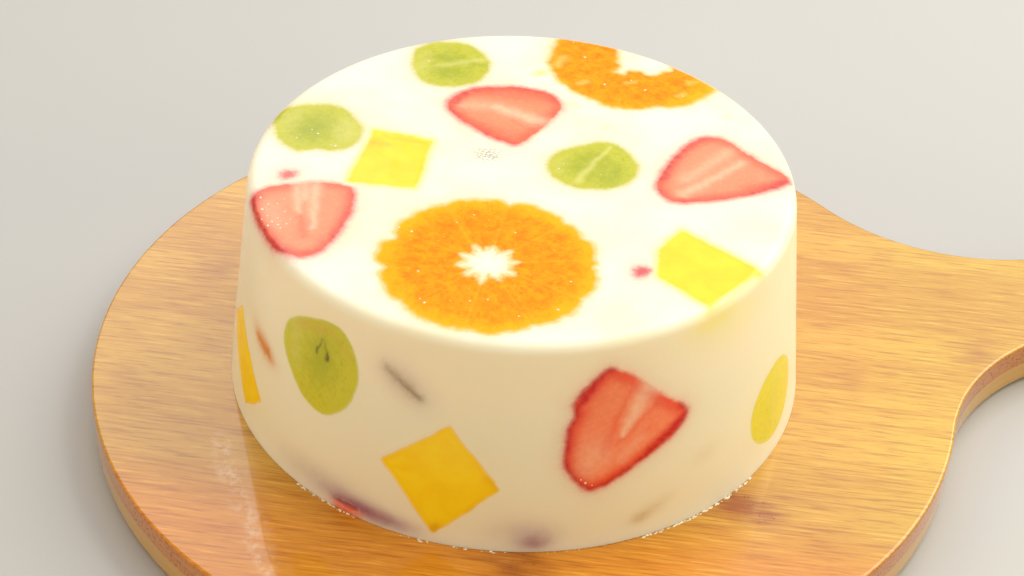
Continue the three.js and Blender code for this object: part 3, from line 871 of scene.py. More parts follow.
def jelly_attributes(points):
    halo, total, tint = (np.zeros((len(points), size)) for size in (1, 1, 3))
    firm = np.ones(len(points))
    for piece, index, away, flat in piece_distances(points, HALO_REACH):
        share = piece.shown(away, flat)[:, None]
        halo[index] = np.maximum(halo[index], share)
        tint[index] += share * piece.tint(flat)
        total[index] += share
        firm[index] = np.minimum(firm[index], smooth(0.3, 3.5, away))
    values = {"halo": halo[:, 0], "tint": tint / np.maximum(total, 1e-6), "clear_of_fruit": firm}
    values["foot"] = np.exp(-(np.clip(points[:, 2], 0, None) / 5.0) ** 1.5)
    # 1 on the wall, where the milk is given its painted shade
    values["wall"] = smooth(HEIGHT - 0.3, WALL_TOP - 1.0, points[:, 2])
    for key, (_, spots) in STAINS.items():
        values[key] = stain(points, spots)
    values["zest"] = zest(points)
    off = (points - np.array(SUNK_SEEDS)) / np.array(SUNK_SEEDS_SPREAD)
    values["sunk_seeds"] = np.exp(-(off ** 2).sum(1) * 1.2)
    return values


def make_jelly():
    """The skin, rolled down over each piece, and the walls of its pocket below."""
    flat, faces = jelly_map()
    surface = from_map(flat)
    points = surface.copy()
    sunk = np.zeros(len(points))
    for piece, index, away, local in piece_distances(surface, LIP):
        roll = LIP_DROP * np.clip(1 - away / LIP, 0, 1) ** 3
        floor = piece.body_depth(piece.share(local)) + POCKET_ROOM
        wall = LIP_DROP + np.clip(-away, 0, None) * POCKET_SLOPE
        depth = np.where(away > 0, roll, np.minimum(wall, np.maximum(floor, LIP_DROP)))
        deeper = depth > sunk[index]
        chosen = index[deeper]
        sunk[chosen] = depth[deeper]
        points[chosen] = sink(surface[chosen], depth[deeper], piece.axes[2])
    foot = np.flatnonzero(from_axis(flat) > PLANE[-1] - 1e-3)
    foot = foot[np.argsort(np.arctan2(flat[foot, 1], flat[foot, 0]))]
    faces = faces + [tuple(int(i) for i in foot[::-1])]
    return new_object("jelly_body", to_frame(points), faces, jelly_attributes(surface), len(faces) - 1)


# ---- fruit ----

FACE_RINGS = 37
CHIP_RINGS = 9
FACE_RELIEF = 0.03
UNDER_FLANGE = FLANGE + 0.02


def face_relief(piece, flat, rim):
    """Height of the cut face over its plane."""
    return smooth(0.4, 1.6, rim) * FACE_RELIEF * lattice_noise(flat, 2.2, len(piece.name))


def stack_heights(piece):
    """Rings of a piece's body under its flange: share of the outline, and depth."""
    rings = [(1.0, UNDER_FLANGE), (1.0, 0.35 if piece.chip else 0.6)]
    if piece.domed:
        for turn in np.linspace(0.12, 0.97, 12) * math.pi / 2:
            share = math.cos(turn)
            rings.append((share, float(piece.body_depth(np.array(share)))))
        return rings, float(piece.body_depth(np.array(0.0)))
    rings += [(1.0, piece.depth * 0.5), (1.0, piece.depth - 0.8), (0.97, piece.depth), (0.5, piece.depth)]
    return rings, piece.depth


def strokes(piece, key, flat):
    """Soft tapered strokes, each x, y and half width at both ends, and a strength."""
    total = np.zeros(len(flat))
    broad = np.stack([lattice_noise(flat, 3.5, seed) for seed in (8, 9)], -1)
    fine = np.stack([lattice_noise(flat, 1.2, seed) for seed in (10, 14)], -1)
    flat = flat + 0.5 * broad + 0.25 * fine
    for x0, y0, w0, x1, y1, w1, strength in piece.facts.get(key, ()):
        away, share = to_segment(flat, (x0, y0), (x1, y1))
        width = w0 + (w1 - w0) * share
        total = np.maximum(total, strength * np.exp(-(away / width) ** 2))
    return total


def face_attributes(piece, flat, away):
    """What the colours of every cut face follow."""
    return {
        "flat": np.c_[flat, np.zeros(len(flat))],
        "rim": np.clip(-away, 0, None),
        "pale": strokes(piece, "pale", flat),
        "clear": piece.shown(away, flat),
        "tint": piece.tint(flat),
        "flesh": np.full(len(flat), 0.0 if piece.name in EDGE else 1.0),
    }


def fruit_attributes(piece, flat, away):
    values = face_attributes(piece, flat, away)
    rim = values["rim"]
    turn = angle_of(flat)
    values["around"] = np.c_[polar(piece.reach, turn), rim * 0.3]
    values["wall"] = np.full(len(flat), 0.0 if piece.on_top else 1.0)
    for key in ("deep", "seeds"):
        values[key] = strokes(piece, key, flat)
    if piece.kind == "strawberry":
        values.update(strawberry_attributes(piece, flat, rim))
    if piece.kind == "grape":
        values["tan"] = strokes(piece, "tan", flat)
        values["share"] = piece.share(flat)
        values["ripe"] = np.full(len(flat), piece.facts.get("ripe", 0.0))
    if piece.kind == "mandarin":
        values.update({key: np.full(len(flat), 0.5) for key in ("cell", "tone", "share")})
    return values


def strawberry_attributes(piece, flat, rim):
    calyx = np.array(piece.facts.get("calyx", (0, piece.reach)), float)
    tip = np.array(piece.facts.get("tip", (0, -piece.reach)), float)
    length = np.linalg.norm(tip - calyx)
    way = (tip - calyx) / length
    along = (flat - calyx) @ way
    across = (flat - calyx) @ np.array([-way[1], way[0]])
    fibre = along - 0.9 * np.abs(across)
    skin = np.exp(-(rim / piece.facts.get("skin", 1.1)) ** 1.3)
    skin = np.maximum(skin * piece.skinned(flat), strokes(piece, "red", flat))
    return {"axis": np.stack([along, across, fibre], -1), "skin": skin, "achenes": achenes(piece, flat)}


def achenes(piece, flat):
    """Dark seed pits of the skin, cut through at the face's edge."""
    rng = np.random.default_rng(len(piece.name))
    total = np.zeros(len(flat))
    edge_angle = np.degrees(angle_of(piece.outline)) % 360
    for start, stop, count, strength in piece.facts.get("dots", ()):
        for k in range(count):
            degrees = start + (stop - start) * (k + rng.uniform(0, 1)) / count
            nearest = np.argmin(np.abs((edge_angle - degrees + 180) % 360 - 180))
            inward = rng.uniform(0.3, 1.8)
            at = piece.outline[nearest] * (1 - inward / np.linalg.norm(piece.outline[nearest]))
            away = np.linalg.norm(flat - at, axis=1) / rng.uniform(0.3, 0.6)
            total = np.maximum(total, strength * rng.uniform(0.6, 1) * np.exp(-away ** 2))
    return total


def cut_object(piece, flat, depth, faces, values):
    """The mesh of a piece whose points lie at these depths under the jelly's surface."""
    points = sink(piece.surface(flat), depth, piece.axes[2])
    return new_object(piece.name + "_cut", to_frame(points), faces, values)


def make_fruit(piece):
    """A cut face with a thin flange under the jelly's lip, and a body in its pocket."""
    count = len(piece.outline)
    normals = loop_normals(piece.outline)
    edge = piece.outline + normals * COVER
    body = piece.outline - normals * BODY_INSET
    shares = np.linspace(0, 1, 1 + (CHIP_RINGS if piece.chip else FACE_RINGS))[1:] ** 0.8
    inside = piece.outline + normals * (COVER - EDGE_RING)
    face = np.vstack([[(0.0, 0.0)]] + [share * inside for share in shares] + [edge])
    rings, bottom = stack_heights(piece)
    under = np.vstack([edge] + [share * body for share, _ in rings] + [[(0.0, 0.0)]])
    under_depth = np.r_[np.full(count, FLANGE), np.repeat([depth for _, depth in rings], count), bottom]
    flat = np.vstack([face, under])
    away = piece.distance(flat)
    relief = face_relief(piece, face, -away[:len(face)])
    _, faces = capped_stack([flat[:1], *flat[1:-1].reshape(-1, count, 2), flat[-1:]])
    depth = np.r_[FACE_DROP - relief, under_depth]
    return cut_object(piece, flat, depth, faces, fruit_attributes(piece, flat, away))


# ---- mandarin slices ----

CELL_LONG = 2.1          # juice cells, half length along the segment and half width
CELL_WIDE = 0.8
CELL_FROM = 6.0          # rows of cells start and stop at these radii
CELL_TO = 31.0
CELL_ROW = 3.1           # rows of cells, and cells in a row, lie this far apart
CELL_PITCH = 1.75
CELL_BULGE = 0.07        # cells and segments stand this much out of the cut face
SEGMENT_BULGE = 0.06
FACE_SETTLE = 0.08       # which lies this much lower between them
GRAINY = 0.05
MEMBRANE_WIDTH = 0.38
SLICE_ROWS = 66          # rows of points from the core to the edge of the whole slice
TORN_GRID = 0.5          # spacing of points on the torn one


def cell_seeds(piece, seed):
    """Middles of the juice cells in every segment: radius, angle and tone."""
    rng = np.random.default_rng(seed)
    seeds = []
    step = TAU / SLICE_SEGMENTS
    for segment in range(SLICE_SEGMENTS):
        start = piece.facts["phase"] + segment * step
        for radius in np.arange(CELL_FROM, CELL_TO, CELL_ROW):
            row = max(1, int(radius * step / CELL_PITCH))
            for k in range(row):
                angle = start + step * (k + 0.5 + rng.uniform(-0.3, 0.3)) / row
                seeds.append((radius + rng.uniform(-1.4, 1.4), angle, rng.random()))
    return np.array(seeds)


def cells(piece, radius, angle, seed):
    """Nearest juice cell: how near its edge, and its tone."""
    seeds = cell_seeds(piece, seed)
    near = np.empty(len(radius))
    tone = np.empty(len(radius))
    for start in range(0, len(radius), CHUNK):
        part = slice(start, start + CHUNK)
        turn = (angle[part, None] - seeds[None, :, 1] + math.pi) % TAU - math.pi
        along = (radius[part, None] - seeds[None, :, 0]) / CELL_LONG
        across = turn * radius[part, None] / CELL_WIDE
        away = np.sqrt(along ** 2 + across ** 2)
        order = np.argpartition(away, 1, axis=1)[:, :2]
        two = np.take_along_axis(away, order, 1)
        first = np.argmin(two, axis=1)
        near[part] = np.abs(two[:, 1] - two[:, 0])
        tone[part] = seeds[order[np.arange(len(first)), first], 2]
    return near, tone


def slice_values(piece, flat, seed):
    """Depth of a slice's cut face, and what its colours follow."""
    radius = np.linalg.norm(flat, axis=1)
    angle = angle_of(flat)
    away = piece.distance(flat)
    near, tone = cells(piece, radius, angle, seed)
    between = np.abs(np.sin(SLICE_SEGMENTS / 2 * (angle - piece.facts["phase"])))
    wall_away = np.arcsin(np.clip(between, 0, 1)) * 2 / SLICE_SEGMENTS * radius
    bulge = CELL_BULGE * smooth(0.0, 0.9, near) + SEGMENT_BULGE * smooth(0, 0.8, wall_away) - FACE_SETTLE
    bulge += GRAINY * lattice_noise(flat, 1.1, seed)
    core = 0.0 if piece.hole is None else SLICE_CORE
    values = face_attributes(piece, flat, away)
    values["cell"] = near
    values["tone"] = tone
    membrane = 0.4 if piece.hole is None else 1.0
    values["membrane"] = membrane * np.exp(-(wall_away / MEMBRANE_WIDTH) ** 2)
    values["share"] = np.clip((radius - core) / (SLICE_REACH - core), 0, 1)
    return FACE_DROP - bulge * smooth(0.15, 1.4, -away), values


def under_slice(outer, inner, depth):
    """Loops of a slice's flange and body, and their depths."""
    return [(outer, FLANGE), (inner, UNDER_FLANGE), (inner, depth)]


def slice_object(piece, face, under, faces, seed):
    """The slice's mesh, from the points of its face and the loops under it."""
    flat = np.vstack([face] + [loop for loop, _ in under])
    depth, values = slice_values(piece, flat, seed)
    depth[len(face):] = np.repeat([below for _, below in under], len(under[0][0]))
    return cut_object(piece, flat, depth, faces, values)


def make_slice(piece, seed):
    """A whole slice, as one closed band round its open core."""
    angle, outer, inner = (piece.facts[k] for k in ("angle", "outer", "inner"))
    count = len(angle)
    across = np.linspace(0, 1, SLICE_ROWS)[:, None]
    low, high = inner - COVER, outer + COVER
    radius = np.vstack([low, low + EDGE_RING + (high - low - 2 * EDGE_RING) * across, high])
    under = under_slice(outer + COVER, outer - BODY_INSET, piece.depth)
    under += under_slice(inner - COVER, inner + BODY_INSET, piece.depth)[::-1]
    under = [(polar(loop, angle), below) for loop, below in under]
    face = polar(radius.ravel(), np.tile(angle, len(radius)))
    rings = len(radius) + len(under)
    last = (rings - 1) * count
    faces = band_faces(rings, count)
    faces += [(last + i, i, j, last + j) for i, j in ring_edges(0, count)]
    return slice_object(piece, face, under, faces, seed)


def make_torn_slice(piece, seed):
    """A slice with part torn away: its face is filled with triangles inside its edge."""
    normals = loop_normals(piece.outline)
    edge = piece.outline + normals * COVER
    count = len(edge)
    low, high = edge.min(0), edge.max(0)
    x, y = np.meshgrid(*(np.arange(low[k], high[k], TORN_GRID) for k in (0, 1)))
    grid = np.stack([x + TORN_GRID / 2 * (np.arange(len(x)) % 2)[:, None], y], -1).reshape(-1, 2)
    grid = grid[piece.distance(grid) < -TORN_GRID / 2]
    inner = [piece.outline + normals * offset for offset in (COVER - EDGE_RING, 0.2, -0.05)]
    face, faces = triangles(np.vstack([edge] + inner + [grid]), ring_edges(0, count))
    inside = signed_distance(face[np.array(faces)].mean(1), edge) < 0
    faces = [side for side, keep in zip(faces, inside) if keep]
    under = under_slice(edge, piece.outline - normals * BODY_INSET, piece.depth)
    loops = [np.arange(count)] + [len(face) + k * count + np.arange(count) for k in range(len(under))]
    for above, below in zip(loops, loops[1:]):
        around = zip(above, below, np.roll(below, -1), np.roll(above, -1))
        faces += [tuple(int(i) for i in side) for side in around]
    faces.append(tuple(int(i) for i in loops[-1][::-1]))
    return slice_object(piece, face, under, faces, seed)


# ---- the board ----

def board_outline():
    """Anticlockwise from the neck, as evenly spaced points, in the board's own frame."""
    half = HANDLE_WIDTH / 2
    neck_y = half + NECK_RADIUS
    touch = math.asin(neck_y / (BOARD_RADIUS + NECK_RADIUS))
    neck_x = (BOARD_RADIUS + NECK_RADIUS) * math.cos(touch)
    end_x, end_y = HANDLE_END - HANDLE_END_RADIUS, half - HANDLE_END_RADIUS

    def arc(x, y, radius, start, stop):
        steps = max(6, int(abs(stop - start) * radius / 0.8))
        turn = np.linspace(start, stop, steps)
        return np.stack([x + radius * np.cos(turn), y + radius * np.sin(turn)], -1)

    quarter = math.pi / 2
    parts = [
        arc(0, 0, BOARD_RADIUS, touch, TAU - touch),
        arc(neck_x, -neck_y, NECK_RADIUS, math.pi - touch, quarter),
        arc(end_x, -end_y, HANDLE_END_RADIUS, -quarter, 0),
        arc(end_x, end_y, HANDLE_END_RADIUS, 0, quarter),
        arc(neck_x, neck_y, NECK_RADIUS, -quarter, touch - math.pi),
    ]
    return resample(np.vstack(parts), 900)


GRAIN_TURN = math.radians(JELLY_TURN - 6.0)
TOP_RINGS = 64               # rings of points on the board's top, and on its two bevels
TOP_BEVEL_RINGS = 6
LOW_BEVEL_RINGS = 9
BEVEL_GUARD = 0.15           # and a ring this close to the upper bevel, on either side of it

# Where bamboo's rings cross the strips: along and across the grain, half length along it,
# half width across it, strength; in millimetres from the disc's centre.
KNOTS = [
    (-97, 24, 6, 8, 0.65), (66, -54, 7, 6, 1.5), (61, -50, 5, 4, 1.2), (71, -57, 5, 5, 1.1),
    (81, -49, 11, 2.0, 0.5), (98, -38, 13, 1.8, 0.4), (8, -85, 9, 4, 1.1), (10, -89.5, 7, 3.5, 0.95),
    (6, -100, 4, 6, 0.6), (133, 23, 7, 6, 0.75), (-60, 84, 5, 8, 0.6), (40, 96, 5, 7, 0.6),
    (-112, -30, 4, 7, 0.35), (176, 78, 5, 7, 0.5), (206, 62, 4, 6, 0.4), (95, 5, 4, 7, 0.3),
]

# Where whey has dried on the board, left of the jelly, from the disc's centre; its pale specks also stand for
# painted glints.
DRIED = [(-91, -22), (-91.7, -33), (-88.6, -47), (-87.7, -55), (-87.5, -66), (-85.6, -75)]


def knots(points):
    """How dark the wood is where its rings cross the strips."""
    along, across = along_across(points[:, 0], points[:, 1], GRAIN_TURN)
    ragged = lattice_noise(np.stack([along / 9, across / 2], -1), 1.0, 3)
    total = np.zeros(len(points))
    for u, v, long, wide, strength in KNOTS:
        off = ((along - u) / long + 0.5 * ragged) ** 2 + ((across - v) / wide) ** 2
        total = np.maximum(total, strength * np.exp(-off))
    return total


def dried_whey(points):
    """How much dried whey lies on the board, whose pale specks also stand for painted glints."""
    away = np.min([to_segment(points[:, :2], a, b)[0] for a, b in zip(DRIED, DRIED[1:])], axis=0)
    return np.exp(-(away / (2.6 + 1.2 * lattice_noise(points[:, :2], 7.0, 4))) ** 2)


def make_board():
    """From the middle of the top out over the bevels to the middle of the underside."""
    loop = board_outline()
    inward = -loop_normals(loop)
    inner = loop + inward * BOARD_TOP_EDGE
    bevels = [(BOARD_TOP_EDGE + BEVEL_GUARD, BOARD_THICKNESS)]
    for turn in np.linspace(0, math.pi / 2, TOP_BEVEL_RINGS):
        drop = BOARD_TOP_EDGE * (1 - math.cos(turn))
        bevels.append((BOARD_TOP_EDGE * (1 - math.sin(turn)), BOARD_THICKNESS - drop))
    bevels += [(0.0, BOARD_THICKNESS - BOARD_TOP_EDGE - BEVEL_GUARD), (0.0, BOARD_LOW_EDGE + 0.3)]
    for turn in np.linspace(0, math.pi / 2, LOW_BEVEL_RINGS):
        bevels.append((BOARD_LOW_EDGE * (1 - math.cos(turn)), BOARD_LOW_EDGE * (1 - math.sin(turn))))
    bevels.append((BOARD_LOW_EDGE + 0.2, 0.0))
    levels = [(inner * share, BOARD_THICKNESS) for share in np.linspace(0.02, 0.985, TOP_RINGS)]
    levels += [(loop + inward * inset, z) for inset, z in bevels]
    levels.append(((loop + inward * BOARD_LOW_EDGE) * 0.6, 0.0))
    rings = [np.c_[flat, np.full(len(flat), z)] for flat, z in levels]
    points, faces = capped_stack([np.array([[0.0, 0.0, BOARD_THICKNESS]]), *rings, np.zeros((1, 3))])
    return new_object("board_bamboo", points * MM, faces, {"knot": knots(points), "film": dried_whey(points)})


# ---- whey, and bubbles that also stand for painted glints ----

def dome(centre, normal, radius, height, rng, stretch=(1.0, 1.0), turn=0.0):
    """A low dome, its base round the centre, its top along the normal."""
    normal = np.asarray(normal, float)
    normal = normal / np.linalg.norm(normal)
    side = np.cross(normal, (0.3, 0.9, 0.1) if abs(normal[1]) < 0.8 else (1, 0, 0))
    side /= np.linalg.norm(side)
    other = np.cross(normal, side)
    if abs(normal[2]) > 0.99:
        side, other = np.array([1.0, 0, 0]), np.array([0, 1.0, 0])
    around, rows = 12, 4
    angle = np.arange(around) * TAU / around
    ripple = 1 + 0.12 * np.sin(2 * angle + rng.uniform(0, TAU))
    ripple += 0.07 * np.sin(3 * angle + rng.uniform(0, TAU))
    rings = [(centre + normal * height)[None]]
    for row in range(1, rows + 1):
        lift = height * math.cos(row / rows * math.pi / 2)
        wide = radius * math.sin(row / rows * math.pi / 2) * ripple
        x, y = wide * np.cos(angle) * stretch[0], wide * np.sin(angle) * stretch[1]
        c, s = math.cos(turn), math.sin(turn)
        flat = np.outer(x * c - y * s, side) + np.outer(x * s + y * c, other)
        rings.append(centre + flat + normal * lift)
    rings.append((centre - normal * 0.05)[None])
    return capped_stack(rings)


def join(parts):
    """Several bodies as the points and faces of one mesh."""
    points, faces, total = [], [], 0
    for more, sides in parts:
        points.append(more)
        faces += [tuple(i + total for i in side) for side in sides]
        total += len(more)
    return np.vstack(points), faces


DROP_LEAST = 0.12        # a drop's radius at least, and how much more the largest have
DROP_MORE = 0.3
DROP_REACH = 0.55        # how far out from the foot the drops lie

# Where drops lie along the foot: azimuth from, to, drops in a degree.
WHEY = [(-64, -36, 3.6), (-134, -119, 2.0), (-112, -104, 1.2), (-100, -70, 0.5), (60, 150, 0.3)]


def make_whey():
    """Drops of whey along the foot."""
    rng = np.random.default_rng(7)
    low = LIFT / 2 - GAP_BELOW
    parts = []
    for start, stop, rate in WHEY:
        for _ in range(int((stop - start) * rate)):
            angle = math.radians(rng.uniform(start, stop))
            size = DROP_LEAST + DROP_MORE * rng.random() ** 2
            radius = BASE_RADIUS + 0.06 + DROP_REACH * rng.random() ** 2
            at = np.array([radius * math.cos(angle), radius * math.sin(angle), low])
            along = rng.uniform(1.0, 2.2)
            parts.append(dome(at, (0, 0, 1), size, size * 0.6, rng, (1.0, along), angle))
    points, faces = join(parts)
    return new_object("whey_foot", to_frame(points), faces)


# Small pale bubbles on the cut faces, which also stand for painted glints there: x, y and size.
GLINT_BUBBLES = {
    "grape_top_left": [(-2.4, -0.7, 0.35), (-0.6, -2.6, 0.5), (4.8, -8.4, 0.55), (3.6, -8.0, 0.3),
                       (-6.2, -5.1, 0.35), (3.8, 11.2, 0.3), (-3.4, 1.4, 0.22), (-5.6, -3.4, 0.25)],
    "grape_top_middle": [(-9.8, -1.4, 0.4), (1.8, -3.4, 0.22), (-8.4, 1.2, 0.22)],
    "grape_top_back": [(-6.4, 1.0, 0.35), (-8.0, -2.4, 0.25)],
    "strawberry_top_left": [
        (-11.6, 7.0, 0.5), (-10.6, 1.6, 0.55), (-8.2, -5.5, 0.45), (-7.4, -3.7, 0.5), (-4.4, 1.1, 0.3),
        (-5.6, -4.9, 0.4), (-9.2, 4.2, 0.35), (-6.8, 4.6, 0.3), (-8.8, -1.2, 0.3), (-6.0, -2.0, 0.35),
        (-3.4, -4.4, 0.35), (-4.8, -6.4, 0.3), (-10.2, -2.6, 0.35), (-2.6, -2.2, 0.25), (-5.2, 6.8, 0.25)],
    "strawberry_wall_front": [(-8.4, -15.2, 0.4), (-9.6, -14.0, 0.3), (-6.6, -16.2, 0.25)],
    "mandarin_top_front": [(-17.8, -4.6, 0.4), (-15.4, -17.6, 0.45), (-16.6, -16.0, 0.3), (-20.6, 12.6, 0.5),
                           (-4.0, -16.2, 0.4), (0.6, -15.2, 0.4), (8.6, -21.4, 0.35), (18.4, -18.0, 0.45),
                           (21.6, -6.0, 0.35), (14.4, 7.6, 0.3), (17.0, 7.4, 0.3), (6.8, 14.2, 0.4),
                           (-4.4, 21.4, 0.35), (-24.0, 14.2, 0.4), (-8.8, 17.6, 0.3)],
    "mandarin_top_back": [(-12.6, 2.2, 0.5), (-6.8, -12.4, 0.5), (5.0, -14.4, 0.45), (15.8, -16.8, 0.4),
                          (-16.0, 10.4, 0.3), (1.0, -9.4, 0.35)],
}


def make_glint_bubbles():
    """Small pale bubble domes on the fruit's faces, which also stand for painted glints."""
    rng = np.random.default_rng(21)
    parts = []
    for piece in PIECES:
        for x, y, size in GLINT_BUBBLES.get(piece.name, ()):
            flat = np.array([[x, y]])
            at = sink(piece.surface(flat), np.array([FACE_DROP + 0.05]), piece.axes[2])[0]
            parts.append(dome(at, piece.axes[2], size * 0.85, size * 0.45, rng))
    points, faces = join(parts)
    return new_object("bubbles", to_frame(points), faces)


# ---- materials ----

class Graph:
    """A material's nodes, fed by plain numbers or by other nodes."""

    def __init__(self, name):
        self.material = bpy.data.materials.new(name)
        self.material.use_nodes = True
        self.tree = self.material.node_tree
        self.shader = self.tree.nodes["Principled BSDF"]

    def feed(self, socket, value):
        if isinstance(value, bpy.types.NodeSocket):
            self.tree.links.new(value, socket)
        else:
            socket.default_value = value

    def node(self, kind, inputs=None, **settings):
        made = self.tree.nodes.new("ShaderNode" + kind)
        for key, value in settings.items():
            setattr(made, key, value)
        for key, value in (inputs or {}).items():
            self.feed(made.inputs[key], value)
        return made

    def finish(self, **values):
        for key, value in values.items():
            self.feed(self.shader.inputs[key.replace("_", " ")], value)
        return self.material

    def attribute(self, name, output="Fac"):
        return self.node("Attribute", attribute_name=name).outputs[output]

    def here(self):
        return self.node("TexCoord").outputs["Object"]

    def math(self, operation, a, b=0.0, clamp=False):
        return self.node("Math", {0: a, 1: b}, operation=operation, use_clamp=clamp).outputs[0]

    def times(self, a, b):
        return self.math("MULTIPLY", a, b)

    def plus(self, a, b):
        return self.math("ADD", a, b)

    def combine(self, x, y, z=0.0):
        return self.node("CombineXYZ", {0: x, 1: y, 2: z}).outputs[0]

    def split(self, vector):
        return self.node("SeparateXYZ", {0: vector}).outputs

    def mix(self, share, a, b, blend="MIX"):
        made = self.node("Mix", {0: share, 6: a, 7: b}, data_type="RGBA", blend_type=blend)
        return made.outputs[2]

    def layers(self, base, rows):
        """Colours laid over the base, each by a share (or an attribute's name) and a strength."""
        for share, strength, *tint in rows:
            if isinstance(share, str):
                share = self.attribute(share)
            base = self.mix(self.times(share, strength), base, colour(*tint))
        return base

    def span(self, value, low, high, out_low=0.0, out_high=1.0):
        """A smooth step from low to high."""
        made = self.node("MapRange", {"Value": value, "From Min": low, "From Max": high,
                                      "To Min": out_low, "To Max": out_high},
                         interpolation_type="SMOOTHSTEP")
        return made.outputs[0]

    def noise(self, vector, scale, detail=2.0, roughness=0.5):
        made = self.node("TexNoise", {"Vector": vector, "Scale": scale, "Detail": detail,
                                      "Roughness": roughness})
        return made.outputs["Fac"]

    def patches(self, vector, scale, detail, roughness, low, high, shift=None):
        """1 where the noise is over high, 0 where it is under low."""
        if shift:
            vector = self.node("VectorMath", {0: vector, 1: shift}, operation="ADD").outputs[0]
        return self.span(self.noise(vector, scale, detail, roughness), low, high)

    def cells(self, vector, scale):
        return self.node("TexVoronoi", {"Vector": vector, "Scale": scale}).outputs["Distance"]

    def turned(self, vector, angle, scale=(1.0, 1.0, 1.0)):
        return self.node("Mapping", {"Vector": vector, "Rotation": (0, 0, angle), "Scale": scale}).outputs[0]

    def bump(self, height, strength, distance, under=None):
        inputs = {"Height": height, "Strength": strength, "Distance": distance}
        if under is not None:
            inputs["Normal"] = under
        return self.node("Bump", inputs).outputs[0]


# MILK is the milk's colour on the top; the wall's copy below is darker and warmer, which is painted shade
MILK = colour(249, 243, 223)
SHADED_WALL_MILK = colour(238, 230, 202)


def milk_material():
    g = Graph("milk_jelly")
    place = g.here()
    # Painted light: the wall's milk turns lighter towards its top
    high = g.span(g.split(place)[2], 0.045, 0.074)
    wall = g.mix(high, SHADED_WALL_MILK, colour(252, 233, 198))
    base = g.layers(MILK, [(g.patches(place, 38.0, 3.0, 0.5, 0.35, 0.7), 1.0, 247, 235, 205)])
    # Painted shade: the wall is given the darker, warmer copy of the milk
    base = g.mix(g.times(g.attribute("wall"), 0.85), base, wall)
    base = g.layers(base, [("foot", 0.7, 247, 241, 228)])
    patchy = g.span(g.noise(place, 260.0), 0.2, 0.8, 0.75, 1.1)
    base = g.layers(base, [(name, patchy, *tint) for name, (tint, _) in STAINS.items()])
    base = g.layers(base, [("zest", patchy, 222, 222, 76)])
    grain = g.span(g.noise(place, 1100.0, 3.0, 0.7), 0.3, 0.7, 0.78, 1.2)
    base = g.mix(g.times(g.attribute("halo"), grain), base, g.attribute("tint", "Color"))
    dots = g.times(g.span(g.cells(place, 1500.0), 0.55, 0.3), g.attribute("sunk_seeds"))
    base = g.layers(base, [("sunk_seeds", 0.3, 206, 200, 190), (dots, 0.9, 140, 134, 126)])
    fine = g.bump(g.noise(place, 900.0), 0.04, 0.0004)
    return g.finish(Base_Color=base, Roughness=0.36, IOR=1.36,
                    Normal=g.bump(g.noise(place, 55.0), 0.1, 0.0012, fine),
                    Subsurface_Weight=g.times(g.attribute("clear_of_fruit"), 0.35),
                    Subsurface_Radius=(1.0, 0.75, 0.5), Subsurface_Scale=0.0035)


def clouded(g, flesh):
    """The flesh, clouded by milk at its edge."""
    clear = g.attribute("clear")
    inside = g.times(g.span(clear, 0.62, 0.95), g.attribute("flesh"))
    near = g.mix(inside, g.attribute("tint", "Color"), flesh)
    # on a wall piece the milk at its edge is the wall's painted-shade copy
    return g.mix(clear, g.mix(g.attribute("wall"), MILK, SHADED_WALL_MILK), near)


def fruit_finish(g, flesh, relief, rough=0.26, gloss=0.32, coat=0.06):
    return g.finish(Base_Color=flesh, Roughness=rough, Normal=relief, Specular_IOR_Level=gloss,
                    Coat_Weight=coat, Coat_Roughness=0.1)


def grape_material():
    g = Graph("grape_flesh")
    share = g.attribute("share")
    flat = g.attribute("flat", "Vector")
    ripe = g.attribute("ripe")
    core = g.mix(ripe, colour(168, 174, 22), colour(218, 206, 30))
    outer = g.mix(ripe, colour(190, 190, 44), colour(226, 212, 44))
    mottle = g.plus(g.times(share, 0.4), g.noise(flat, 0.34, 4.0, 0.6))
    rays = g.patches(g.attribute("around", "Vector"), 0.3, 2.0, 0.5, 0.5, 0.72)
    flesh = g.layers(g.mix(g.span(mottle, 0.52, 0.86), core, outer), [
        ("deep", 0.65, 146, 160, 14),
        (g.times(rays, g.span(share, 0.35, 0.85)), 0.3, 208, 202, 84),
        (g.patches(flat, 1.1, 4.0, 0.7, 0.5, 0.72), 0.35, 214, 208, 92),
        (g.patches(flat, 0.8, 4.0, 0.7, 0.52, 0.74, (30, 0, 0)), 0.4, 150, 150, 24),
        ("tan", 0.45, 212, 162, 70),
        ("pale", 0.6, 222, 216, 124),
    ])
    flesh = g.layers(clouded(g, flesh), [("seeds", 0.85, 84, 66, 20)])
    return fruit_finish(g, flesh, g.bump(g.noise(flat, 1.6, 3.0), 0.2, 0.0003))


